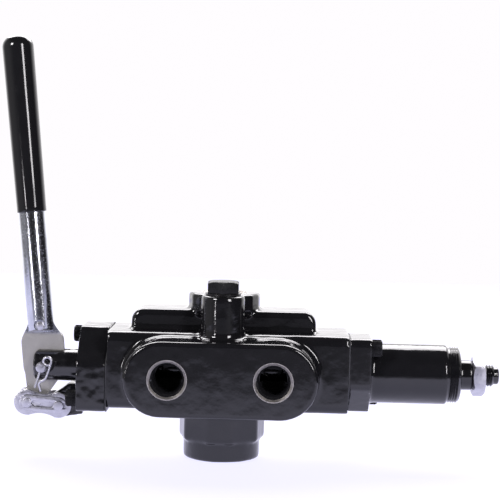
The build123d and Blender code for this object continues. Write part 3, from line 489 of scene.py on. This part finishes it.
def roughen(piece, layers):
    """Push a skin in and out; layers are (lump size, height) in millimetres."""
    spots = [vertex.co.copy() for vertex in piece.data.vertices]
    outwards = [normal.vector.copy() for normal in piece.data.vertex_normals]
    for i, (spot, normal) in enumerate(zip(spots, outwards)):
        push = sum(height * noise.noise(spot / (size * MM)) for size, height in layers)
        spots[i] = spot + normal * (push * MM)
    piece.data.vertices.foreach_set("co", [number for spot in spots for number in spot])
    piece.data.update()
    return piece


def deliver(piece, body, slot, *nodes, smooth_below=35):
    """Give a finished piece its shading, finish, body, and the nodes it stands for."""
    piece.data.shade_smooth()
    piece.data.set_sharp_from_angle(angle=radians(smooth_below))
    piece.data.materials.clear()
    piece.data.materials.append(finish(slot))
    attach(piece, body)
    if nodes:
        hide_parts(*nodes)
    return piece


# ------------------------------------------------------------------ threads and knurls
def tree_with_inputs(name, inputs):
    """A geometry tree with named inputs, and the wires that carry them."""
    tree = bpy.data.node_groups.new(name, "GeometryNodeTree")
    tree.interface.new_socket(name="Geometry", in_out="OUTPUT", socket_type="NodeSocketGeometry")
    for label, kind in inputs.items():
        tree.interface.new_socket(name=label, in_out="INPUT", socket_type="NodeSocket" + kind)
    graph = Graph(tree)
    given = tree.nodes.new("NodeGroupInput")
    return graph, {label: Wire(graph, given.outputs[label]) for label in inputs}


def end_tree(graph, geometry, material):
    """Realize what the tree made, give it its finish and hand it out."""
    solid = graph.node("GeometryNodeRealizeInstances", {}, {"Geometry": geometry})
    solid = graph.node("GeometryNodeSetMaterial", {}, {"Geometry": solid, "Material": material})
    graph.feed(graph.tree.nodes.new("NodeGroupOutput").inputs[0], solid)
    return graph.tree


def thread_tree():
    """A screw thread: a ridge that follows a helix, which may taper."""
    sizes = dict.fromkeys(("Turns", "Start radius", "End radius", "Length", "Ridge"), "Float")
    graph, given = tree_with_inputs("screw_thread", sizes | {"Finish": "Material"})
    helix = {"Resolution": 56, "Rotations": given["Turns"], "Height": given["Length"]}
    helix |= {"Start Radius": given["Start radius"], "End Radius": given["End radius"]}
    line = graph.node("GeometryNodeCurveSpiral", {}, helix)
    line = graph.node("GeometryNodeSetCurveNormal", {"mode": "Z_UP"}, {"Curve": line})
    ridge = graph.node("GeometryNodeCurvePrimitiveCircle", {}, {"Resolution": 4, "Radius": given["Ridge"]})
    sweep = {"Curve": line, "Profile Curve": ridge, "Fill Caps": True}
    return end_tree(graph, graph.node("GeometryNodeCurveToMesh", {}, sweep), given["Finish"])


def knurl_tree():
    """The knurled band of a socket screw's head: upright ridges spaced round a circle."""
    sizes = {"Ridges": "Int", "Radius": "Float", "Length": "Float", "Depth": "Float"}
    graph, given = tree_with_inputs("knurl", sizes | {"Finish": "Material"})
    circle = {"Resolution": given["Ridges"], "Radius": given["Radius"]}
    circle = graph.node("GeometryNodeCurvePrimitiveCircle", {}, circle)
    points = graph.node("GeometryNodeCurveToPoints", {"mode": "EVALUATED"}, {"Curve": circle})
    ridge = {"Vertices": 4, "Radius": given["Depth"], "Depth": given["Length"]}
    ridge = graph.node("GeometryNodeMeshCylinder", {}, ridge)
    outwards = graph.node("GeometryNodeInputPosition")
    facing = graph.node("FunctionNodeAlignRotationToVector", {"axis": "X"}, {"Vector": outwards})
    band = {"Points": points, "Instance": ridge, "Rotation": facing}
    return end_tree(graph, graph.node("GeometryNodeInstanceOnPoints", {}, band), given["Finish"])


def grown(name, make_tree, place, along, slot, inputs):
    """Run a geometry tree once along the line through place, and keep its result as a mesh."""
    piece = piece_of(name, bpy.data.meshes.new(name))
    grow = piece.modifiers.new("grow", "NODES")
    grow.node_group = make_tree()
    for item in grow.node_group.interface.items_tree:
        if item.in_out == "INPUT":
            grow[item.identifier] = finish(slot) if item.name == "Finish" else inputs[item.name]
    settle(piece)
    piece.data.transform(Matrix.Scale(MM, 4) @ line_frame(Vector(place), Vector(along)))
    return piece


def thread(name, place, along, slot, radius, length, pitch, taper=0.0):
    """A thread's ridge from place, its middle at that radius."""
    sizes = {"Turns": length / pitch, "Start radius": radius, "End radius": radius - taper * length}
    return grown(name, thread_tree, place, along, slot, sizes | {"Length": length, "Ridge": pitch * 0.5})


# ------------------------------------------------------------------ settings
class ValveSizes(bpy.types.PropertyGroup):
    """Sizes of the finished pieces that a user would change."""

    casting_grain: bpy.props.FloatProperty(
        name="Casting grain", description="Size of the casting's softest detail",
        default=0.001, unit="LENGTH")
    lump_height: bpy.props.FloatProperty(
        name="Lump height", description="Height of the casting's larger lumps",
        default=0.0001, unit="LENGTH")
    knurl_ridges: bpy.props.IntProperty(
        name="Knurl ridges", description="Ridges round a socket screw's head",
        default=36, min=8)
    housing_pitch: bpy.props.FloatProperty(
        name="Housing thread pitch", description="Pitch of the thread on the detent housing",
        default=0.0014, unit="LENGTH")
    stud_pitch: bpy.props.FloatProperty(
        name="Adjuster thread pitch", description="Pitch of the adjusting screw's thread",
        default=0.0016, unit="LENGTH")
    plate_rounding: bpy.props.FloatProperty(
        name="Plate rounding", description="Rounding of the edges of stamped plates",
        default=0.0004, unit="LENGTH")


class ValveColours(bpy.types.PropertyGroup):
    """Colours of the finishes."""

    paint: bpy.props.FloatVectorProperty(
        name="Enamel", description="Colour of the black enamel",
        default=(0.006, 0.006, 0.007), subtype="COLOR")
    orange_peel: bpy.props.FloatProperty(
        name="Orange peel", description="Depth of the enamel's flow marks",
        default=0.00009, unit="LENGTH")
    grip: bpy.props.FloatVectorProperty(
        name="Grip", description="Colour of the dipped vinyl grip",
        default=(0.008, 0.008, 0.009), subtype="COLOR")
    zinc: bpy.props.FloatVectorProperty(
        name="Zinc", description="Colour of the zinc on small parts",
        default=(0.58, 0.58, 0.63), subtype="COLOR")
    lever: bpy.props.FloatVectorProperty(
        name="Lever", description="Colour of the lever's plating",
        default=(0.6, 0.62, 0.68), subtype="COLOR")


# ------------------------------------------------------------------ castings
class VALVE_OT_valve_body(bpy.types.Operator):
    """The main casting: one soft skin over its masses, with ports and bores cut into it."""

    bl_idname = "valve.valve_body"
    bl_label = "Valve body"

    def execute(self, context):
        sizes = context.scene.valve_sizes
        tank_z = SPOOL_Z + 22.9
        relief = middle("relief_plug")
        boss_top = box_mm("relief_plug_washer")[0].z
        spool_line = (0, 0, SPOOL_Z)
        masses = [
            copy_of("casting", "valve_body"),
            turned("bore_fill", spool_line, ACROSS_X, rod(15.0, body_low.x, body_high.x)),
            turned("tank_fill", (0, 3, tank_z), ACROSS_X, rod(7.0, -49, 49)),
            turned("bridge_fill", (0, 0, SPOOL_Z - 16), ACROSS_X, rod(5.0, -20, 20)),
            turned("relief_fill", (relief.x, relief.y, 0), UPRIGHT, rod(9.0, SPOOL_Z - 5, boss_top)),
        ]
        for label, (face, inward, tap_r, mouth_r, depth, bore) in PORTS.items():
            masses.append(turned(label, face, inward, rod(mouth_r + 0.5, 0, bore)))
        casting = skinned(joined("valve_body_casting", masses), sizes.casting_grain / MM, 5)
        roughen(casting, ((9.0, sizes.lump_height / MM), (4.0, sizes.lump_height / MM / 3)))

        cuts = [turned("bore", spool_line, ACROSS_X, rod(SPOOL_R + 0.06, body_low.x - 2, body_high.x + 2))]
        relief_hole = [(0, SPOOL_Z + 6.5), (6.5, SPOOL_Z + 6.5), (6.5, boss_top - 15)]
        relief_hole += [(7.96, boss_top - 15), (7.96, boss_top + 2), (0, boss_top + 2)]
        cuts.append(turned("relief_hole", (relief.x, relief.y, 0), UPRIGHT, relief_hole))
        for label, (face, inward, tap_r, mouth_r, depth, bore) in PORTS.items():
            hole = [(0, -3), (mouth_r + 0.25, -3), (mouth_r + 0.25, 0.6), (tap_r + 0.7, MOUTH_DEPTH + 0.6)]
            hole += [(tap_r + 0.7, depth + 0.3), (tap_r - 1.4, depth + 0.3), (tap_r - 1.4, bore), (0, bore)]
            cuts.append(turned(label, face, inward, hole))
        combine(casting, cuts)
        deliver(casting, "root", "cast_black", "valve_body", smooth_below=40)
        return {"FINISHED"}


class VALVE_OT_port_threads(bpy.types.Operator):
    """The machined mouths of the four ports, each with its tapered pipe thread made dark as painted shade
    inside the port.
    """

    bl_idname = "valve.port_threads"
    bl_label = "Port threads"

    def execute(self, context):
        for label, (face, inward, tap_r, mouth_r, depth, bore) in PORTS.items():
            mouth = [(mouth_r - 0.3, 0), (tap_r + 0.5, MOUTH_DEPTH * 0.7), (tap_r + 0.9, MOUTH_DEPTH * 0.7)]
            mouth += [(mouth_r + 0.2, 0.5), (mouth_r + 0.2, 0)]
            deliver(turned(label + "_mouth", face, inward, mouth, closed=True), "root", "ground_steel")
            # The thread walls are made black as painted shade: the machined threads stand dark for the shade
            # deep in each port.
            wall = [(tap_r + 0.1, MOUTH_DEPTH + 0.1), (tap_r + 0.1, depth), (tap_r - 1.3, depth)]
            wall += [(tap_r - 1.3, depth + 0.25), (tap_r + 0.6, depth + 0.25)]
            wall.append((tap_r + 0.6, MOUTH_DEPTH + 0.1))
            lining = turned("lining", face, inward, wall, closed=True)
            start, length = face + inward * (MOUTH_DEPTH - 0.2), depth - MOUTH_DEPTH - 0.6
            ridge = thread("ridge", start, inward, "black_steel", tap_r + 0.35, length, PORT_PITCH, 0.03)
            deliver(joined(label + "_thread", [lining, ridge]), "root", "black_steel")
        return {"FINISHED"}


class VALVE_OT_end_cap(bpy.types.Operator):
    """The cast end cap on the lever's side, with the lug that carries the chain link."""

    bl_idname = "valve.end_cap"
    bl_label = "End cap"

    def execute(self, context):
        sizes = context.scene.valve_sizes
        cap = skinned(copy_of("end_cap_left_casting", "end_cap_left"), 0.75, 4)
        roughen(cap, ((6.0, 2 * sizes.lump_height / MM), (3.0, sizes.lump_height / MM)))
        wiper_high = box_mm("spool_wiper")[1]
        way = [(0, cap_low.x - 2), (12.05, cap_low.x - 2), (12.05, wiper_high.x), (9.83, wiper_high.x)]
        way += [(9.83, cap_high.x + 2), (0, cap_high.x + 2)]
        pin_hole = turned("pin_hole", LINK_PIVOT, ACROSS_Y, rod(3.02, -12, 12))
        combine(cap, [turned("way", (0, 0, SPOOL_Z), ACROSS_X, way), pin_hole])
        deliver(cap, "root", "cast_black", "end_cap_left", smooth_below=40)
        return {"FINISHED"}


class VALVE_OT_detent_housing(bpy.types.Operator):
    """The detent housing: a flanged barrel with a thread for a dust cap at its far end."""

    bl_idname = "valve.detent_housing"
    bl_label = "Detent housing"

    def execute(self, context):
        sizes = context.scene.valve_sizes
        spool_line = (0, 0, SPOOL_Z)
        housing = skinned(copy_of("detent_housing_casting", "detent_housing"), 0.75, 3)
        roughen(housing, ((7.0, sizes.lump_height / MM / 3), (3.0, sizes.lump_height / MM / 5)))
        room = [(15.5, 133.2), (20, 133.2), (20, 140.7), (15.5, 140.7)]
        room = turned("thread_room", spool_line, ACROSS_X, room, closed=True)
        combine(housing, [room, turned("stud_hole", spool_line, ACROSS_X, rod(6.6, 125, 150))])
        deliver(housing, "root", "cast_black", "detent_housing", smooth_below=40)

        core = [(15.0, 133.0), (15.9, 133.0), (15.9, 139.4), (15.3, 140.2), (13.4, 140.9)]
        core += [(9.6, 140.9), (9.6, 140.2), (13.0, 140.2), (14.6, 139.4)]
        core = turned("core", spool_line, ACROSS_X, core, closed=True)
        start, pitch = (134.0, 0, SPOOL_Z), sizes.housing_pitch / MM
        ridge = thread("ridge", start, ACROSS_X, "black_steel", 15.9, 5.6, pitch)
        deliver(joined("detent_housing_thread", [core, ridge]), "root", "black_steel")
        return {"FINISHED"}


# ------------------------------------------------------------------ adjuster, plug and screws
class VALVE_OT_adjuster(bpy.types.Operator):
    """The zinc jam nut and the threaded adjusting screw with its hexagon socket."""

    bl_idname = "valve.adjuster"
    bl_label = "Jam nut and adjusting screw"

    def execute(self, context):
        sizes = context.scene.valve_sizes
        nut = round_edges(copy_of("jam_nut_plated", "jam_nut"), 0.35)
        deliver(nut, "root", "zinc", "jam_nut")

        tip = stud_high.x
        core = [(0, stud_low.x), (5.75, stud_low.x), (5.75, tip - 3.4), (5.0, tip - 2.9)]
        core += [(5.0, tip - 0.7), (4.4, tip), (0, tip)]
        stud = turned("stud", (0, 0, SPOOL_Z), ACROSS_X, core)
        socket = Matrix.Translation((tip + 1, 0, SPOOL_Z)) @ Matrix.Rotation(-pi / 2, 4, "Y")
        combine(stud, [prism("socket", hexagon(5.0), socket, 5.0)])
        round_edges(stud, 0.2)
        pitch = sizes.stud_pitch / MM
        start = nut_low.x - 2
        ridge = thread("ridge", (start, 0, SPOOL_Z), ACROSS_X, "black_steel", 5.7, tip - 3.6 - start, pitch)
        deliver(joined("adjust_screw_threaded", [stud, ridge]), "adjust_screw", "black_steel", "adjust_screw")
        return {"FINISHED"}


class VALVE_OT_relief_plug(bpy.types.Operator):
    """The relief valve's hexagon plug."""

    bl_idname = "valve.relief_plug"
    bl_label = "Relief plug"

    def execute(self, context):
        plug = round_edges(copy_of("relief_plug_hexagon", "relief_plug"), 0.4)
        deliver(plug, "root", "screw_black", "relief_plug")
        return {"FINISHED"}


class VALVE_OT_cap_screws(bpy.types.Operator):
    """The four socket head screws, with their knurled heads."""

    bl_idname = "valve.cap_screws"
    bl_label = "Cap screws"

    def execute(self, context):
        sizes = context.scene.valve_sizes
        head_r, head_length, from_axis = 4.75, 6.35, 17.0
        for node, end, slope in (("end_cap_screws", -1, 1), ("detent_housing_screws", 1, -1)):
            low, high = box_mm(node)
            pieces = [round_edges(copy_of("screws", node), 0.3)]
            middle_of_head = low.x + head_length / 2 if end < 0 else high.x - head_length / 2
            for side in (-1, 1):
                place = (middle_of_head, side * from_axis, SPOOL_Z + side * slope * from_axis)
                band = {"Ridges": sizes.knurl_ridges, "Radius": head_r - 0.1, "Length": 4.9, "Depth": 0.34}
                pieces.append(grown("knurl", knurl_tree, place, ACROSS_X, "screw_black", band))
            deliver(joined(node + "_knurled", pieces), "root", "screw_black", node)
        return {"FINISHED"}


# ------------------------------------------------------------------ spool end
class VALVE_OT_spool(bpy.types.Operator):
    """The spool with its forked end."""

    bl_idname = "valve.spool"
    bl_label = "Spool"

    def execute(self, context):
        deliver(round_edges(copy_of("spool_forked", "spool"), 0.3), "spool", "black_steel", "spool")
        return {"FINISHED"}


class VALVE_OT_clevis_pin(bpy.types.Operator):
    """The clevis pin and the sprung wire cotter through it."""

    bl_idname = "valve.clevis_pin"
    bl_label = "Clevis pin and cotter"

    def execute(self, context):
        deliver(round_edges(copy_of("clevis_pin_plated", "clevis_pin"), 0.3), "spool", "zinc", "clevis_pin")

        # straight leg up through the pin, one and a half turns of eye, and the waved leg down
        slope, eye_r, wire_r = radians(72.7), 2.4, 0.75
        front = middle("hairpin_cotter").y
        along, aside = Vector((cos(slope), sin(slope))), Vector((sin(slope), -cos(slope)))
        eye = along * 4.62 + aside * eye_r
        line = [(*(-12.9 * along), 0), (*(-6 * along), 0), (*(0 * along), 0), (*(3.4 * along), 0)]
        steps = 36
        for step in range(steps + 1):
            angle = slope + pi / 2 - 3 * pi * step / steps
            aside_y = 1.55 * min(1.0, step / steps * 1.5)
            line.append((eye.x + eye_r * cos(angle), eye.y + eye_r * sin(angle), aside_y))
        knee = eye + aside * eye_r - along * 10.0
        waves = [eye + aside * eye_r - along * 2, knee + along * 1.6, knee - Vector((1.0, 0.9))]
        waves += [Vector((-0.7, -8.6)), Vector((-1.5, -10.0)), Vector((-0.9, -12.0)), Vector((-0.2, -14.4))]
        line += [(*spot, 1.55 - 0.25 * i) for i, spot in enumerate(waves)]
        curve = bpy.data.curves.new("hairpin_cotter_wire", "CURVE")
        curve.dimensions, curve.bevel_depth, curve.bevel_resolution = "3D", wire_r * MM, 3
        curve.use_fill_caps = True
        spline = curve.splines.new("NURBS")
        spline.points.add(len(line) - 1)
        for point, (x, z, forward) in zip(spline.points, line):
            point.co = ((PIN.x + x) * MM, (front - forward) * MM, (SPOOL_Z + z) * MM, 1)
        spline.order_u, spline.use_endpoint_u, spline.resolution_u = 3, True, 6
        cotter = settle_curve("hairpin_cotter_wire", curve)
        deliver(cotter, "spool", "zinc", "hairpin_cotter", smooth_below=60)
        return {"FINISHED"}


# ------------------------------------------------------------------ lever
class VALVE_OT_lever(bpy.types.Operator):
    """The lever: a tube pressed flat below its rivet into a forged blade."""

    bl_idname = "valve.lever"
    bl_label = "Lever"

    def execute(self, context):
        blade_low, step_low, step_rise = BLADE_HALF, 19.6, 0.45
        tube_top = 189.5
        quarter = asin(blade_low / TUBE_R)
        angles = []
        for start, end, steps in ((-quarter, quarter, 6), (quarter, pi - quarter, 44),
                                  (pi - quarter, pi + quarter, 6), (pi + quarter, tau - quarter, 44)):
            angles += [start + (end - start) * i / steps for i in range(steps)]
        rim = [(TUBE_R * cos(angle), TUBE_R * sin(angle)) for angle in angles]
        count = len(rim)
        points = [(x, y, step_low + step_rise * max(0.0, abs(y) - blade_low)) for x, y in rim]
        points += [(x, y, tube_top) for x, y in rim]
        faces = [(i, (i + 1) % count, count + (i + 1) % count, count + i) for i in range(count)]
        faces += [range(count, 2 * count), range(6, 51), [*range(56, 100), 0], [*range(0, 7), *range(50, 57)]]
        tube = round_edges(from_points("lever_tube", points, faces, LEVER_PLACE), 0.7, sharper_than=50)

        half, shoulder, neck = 12.5, 14.0, 27.0
        outline = [(half * cos(pi + pi * i / 40), half * sin(pi + pi * i / 40)) for i in range(41)]
        flare = []
        for i in range(17):
            share = i / 16
            inset = (half - TUBE_R + 0.6) * (1 - cos(pi * share)) / 2
            flare.append((half - inset, shoulder + (neck - shoulder) * share))
        outline += flare + [(-x, z) for x, z in reversed(flare)]
        facing = LEVER_PLACE @ Matrix.Rotation(pi / 2, 4, "X") @ Matrix.Translation((0, 0, -blade_low))
        blade = prism("blade", outline, facing, 2 * blade_low)
        link_pin = LEVER_PLACE.inverted() @ Vector((LINK_PIN_LEFT.x, 0, LINK_PIN_LEFT.z))
        tail = [(-11.9, -2), (-11.4, -14), (link_pin.x - 6.4, link_pin.z + 2)]
        tail.append((link_pin.x + 5.4, link_pin.z - 4.2))
        tail = prism("tail", tail + [(3.8, -14), (10.5, -6), (10.5, -2)], facing, 2 * blade_low)
        foot_r, steps = 6.8, [tau * i / 64 for i in range(64)]
        foot = [(link_pin.x + foot_r * cos(step), link_pin.z + foot_r * sin(step)) for step in steps]
        combine(blade, [tail, prism("foot", foot, facing, 2 * blade_low)], "UNION")
        room = frame_hole("link_room", link_pin + Vector((-0.17, 0, -0.54)), 3.95)
        combine(blade, [frame_hole("pin_room", Vector((0, 0, 0)), 3.22), room])
        round_edges(blade, 0.7, sharper_than=50)
        lever = combine(tube, [blade], "UNION")
        lever.name = "lever_plated"
        rivet_high = box_mm("lever_rivet")[1]
        spots = []
        for side in (-1, 1):
            span = sorted((side * (rivet_high.y - 0.7), side * 12.0))
            place = LEVER_PLACE @ Vector((0, 0, RIVET_HEIGHT))
            spots.append(turned("spot", place, ACROSS_Y, rod(3.36, *span)))
        combine(lever, spots)
        deliver(lever, "lever", "lever_zinc", "lever")
        rivet = round_edges(copy_of("lever_rivet_domed", "lever_rivet"), 0.25)
        deliver(rivet, "lever", "zinc", "lever_rivet")
        return {"FINISHED"}


class VALVE_OT_grip(bpy.types.Operator):
    """The dipped vinyl grip, thickest near its domed top."""

    bl_idname = "valve.grip"
    bl_label = "Grip"

    def execute(self, context):
        bottom, top, crown, top_r, inner = 91.5, 196.0, 7.0, 9.3, TUBE_R + 0.02
        outline = [(0, top - 5.7), (inner, top - 5.7), (inner, bottom + 0.5), (inner + 0.25, bottom)]
        outline += [(8.6, bottom + 0.1), (8.78, bottom + 0.6), (8.72, bottom + 3), (8.8, bottom + 12)]
        outline += [(9.0, bottom + 45), (9.2, bottom + 80), (top_r, top - crown)]
        for i in range(1, 12):
            angle = pi / 2 * i / 12
            outline.append((top_r - crown + crown * cos(angle), top - crown + crown * sin(angle)))
        outline += [(top_r - crown, top - 0.02), (0, top)]
        place = LEVER_PLACE.to_translation()
        along = LEVER_PLACE.to_3x3() @ UPRIGHT
        deliver(turned("grip_dipped", place, along, outline), "lever", "vinyl", "grip", smooth_below=50)
        return {"FINISHED"}


# ------------------------------------------------------------------ chain link and the rest
class VALVE_OT_chain_link(bpy.types.Operator):
    """The chain connecting link: its plates, pins, spacers and spring clip."""

    bl_idname = "valve.chain_link"
    bl_label = "Chain link"

    def execute(self, context):
        rounding = context.scene.valve_sizes.plate_rounding / MM
        for node, width in (("link_plate_front", rounding), ("link_plate_rear", rounding),
                            ("link_pins", 0.3), ("link_spring_clip", 0.2), ("link_spacers", 0.2)):
            deliver(round_edges(copy_of(node + "_plated", node), width), "chain_link", "zinc", node)
        return {"FINISHED"}


class VALVE_OT_inner_parts(bpy.types.Operator):
    """The finishes of the seals, springs, gaskets and other pieces that keep their frame shape."""

    bl_idname = "valve.inner_parts"
    bl_label = "Inner parts"

    def execute(self, context):
        for name, node in frame["nodes"].items():
            if not node.hide_render:
                node.data.materials.clear()
                node.data.materials.append(finish(SLOT_OF[name]))
        return {"FINISHED"}


# ------------------------------------------------------------------ stage
def soft_light(name, place, aim, size, power, colour=(1.0, 0.97, 1.0)):
    """A rectangular studio light, its place and size in millimetres."""
    lamp = bpy.data.lights.new(name, "AREA")
    lamp.shape, lamp.size, lamp.size_y = "RECTANGLE", size[0] * MM, size[1] * MM
    lamp.energy, lamp.color = power, colour
    light = bpy.data.objects.new(name, lamp)
    light.location = Vector(place) * MM
    light.rotation_euler = (Vector(aim) - Vector(place)).to_track_quat("-Z", "Y").to_euler()
    bpy.context.scene.collection.objects.link(light)
    return light


class VALVE_OT_stage(bpy.types.Operator):
    """The studio: a floor that glows pale with painted light behind the valve and is dark with painted shade
    towards the camera, soft lights, a bright backdrop and the camera.
    """

    bl_idname = "valve.stage"
    bl_label = "Stage"

    def execute(self, context):
        corners = [(-520, -900, -0.4), (560, -900, -0.4), (560, 1200, -0.4), (-520, 1200, -0.4)]
        floor = from_points("floor", corners, [(0, 1, 2, 3)])
        # Painted light on the floor: it glows through its emission, bright behind the valve and fading to
        # painted shade towards the camera.
        floor_glow = Finish("pale_floor", {"Roughness": 0.9, "Emission Strength": 1.0})
        reach = floor_glow.node("ShaderNodeSeparateXYZ", {}, {0: floor_glow.place}, output=1)
        lit = floor_glow.span(reach, 0, 1, -0.42, -0.2)
        floor_glow.vary("Base Color", floor_glow.blend(lit, (0.02, 0.02, 0.022), (0.1, 0.098, 0.105)))
        floor_glow.vary("Emission Color", floor_glow.blend(lit, (0.07, 0.07, 0.09), (0.84, 0.83, 1.1)))
        floor.data.materials.append(floor_glow.material)

        context.scene.view_settings.view_transform = "Standard"
        world = bpy.data.worlds.new("studio")
        context.scene.world = world
        world.use_nodes = True
        sky = Graph(world.node_tree)
        place = sky.node("ShaderNodeTexCoord", output="Generated")
        behind = sky.node("ShaderNodeSeparateXYZ", {}, {0: place}, output=1)
        ends = {"Value": behind, "From Min": 0.28, "From Max": 0.75, "To Min": 0.02, "To Max": 1.6}
        bright = sky.node("ShaderNodeMapRange", {}, ends)
        beside = sky.node("ShaderNodeSeparateXYZ", {}, {0: place}, output=0)
        ends = {"Value": beside, "From Min": -0.55, "From Max": -0.9, "To Min": 0.0, "To Max": 0.3}
        bright = bright + sky.node("ShaderNodeMapRange", {}, ends)
        seen = sky.node("ShaderNodeLightPath", output="Is Camera Ray")
        sky.feed(world.node_tree.nodes["Background"].inputs["Strength"], bright + seen * (1 - bright))
        world.node_tree.nodes["Background"].inputs["Color"].default_value = (1.0, 0.98, 1.0, 1)

        soft_light("overhead", (0, 700, 900), (0, 0, 60), (1300, 600), 20)
        soft_light("front_left", (-700, -700, 650), (0, 0, 60), (250, 250), 6)
        soft_light("low_left", (-560, -700, 50), (-110, 0, 80), (60, 100), 0.5)
        soft_light("front_right", (650, -900, 520), (0, 0, 100), (250, 700), 9)

        lens_px, image_px, sensor = 1518.7, 500, 36
        yaw, pitch, roll = 0.0186, 0.0701, 0.0235
        camera = bpy.data.objects.new("camera", bpy.data.cameras.new("camera"))
        camera.data.sensor_width, camera.data.lens = sensor, lens_px / image_px * sensor
        camera.data.clip_start, camera.data.clip_end = 0.05, 10
        right = Vector((cos(yaw), sin(yaw), 0))
        ahead = Vector((-sin(yaw) * cos(pitch), cos(yaw) * cos(pitch), -sin(pitch)))
        up = right.cross(ahead)
        turn_right = cos(roll) * right + sin(roll) * up
        turn_up = cos(roll) * up - sin(roll) * right
        turn = Matrix((turn_right, turn_up, -ahead)).transposed().to_4x4()
        camera.matrix_world = Matrix.Translation(Vector((31.26, -900.0, 187.0)) * MM) @ turn
        context.scene.collection.objects.link(camera)
        context.scene.camera = camera
        return {"FINISHED"}


STEPS = (
    VALVE_OT_valve_body,
    VALVE_OT_port_threads,
    VALVE_OT_end_cap,
    VALVE_OT_detent_housing,
    VALVE_OT_adjuster,
    VALVE_OT_relief_plug,
    VALVE_OT_cap_screws,
    VALVE_OT_spool,
    VALVE_OT_clevis_pin,
    VALVE_OT_lever,
    VALVE_OT_grip,
    VALVE_OT_chain_link,
    VALVE_OT_inner_parts,
    VALVE_OT_stage,
)


class VALVE_PT_panel(bpy.types.Panel):
    """Sizes, colours and building steps of the valve."""

    bl_label = "Monoblock valve"
    bl_space_type = "VIEW_3D"
    bl_region_type = "UI"
    bl_category = "Valve"

    def draw(self, context):
        for group in (context.scene.valve_sizes, context.scene.valve_colours):
            for name in group.__annotations__:
                self.layout.prop(group, name)
        for step in STEPS:
            self.layout.operator(step.bl_idname)


CLASSES = (ValveSizes, ValveColours, *STEPS, VALVE_PT_panel)


def register():
    for each in CLASSES:
        bpy.utils.register_class(each)
    bpy.types.Scene.valve_sizes = bpy.props.PointerProperty(type=ValveSizes)
    bpy.types.Scene.valve_colours = bpy.props.PointerProperty(type=ValveColours)


def unregister():
    del bpy.types.Scene.valve_sizes, bpy.types.Scene.valve_colours
    for each in reversed(CLASSES):
        bpy.utils.unregister_class(each)


def main():
    """Build every piece."""
    register()
    for step in STEPS:
        group, name = step.bl_idname.split(".")
        getattr(getattr(bpy.ops, group), name)()


if __name__ == "__main__":
    main()
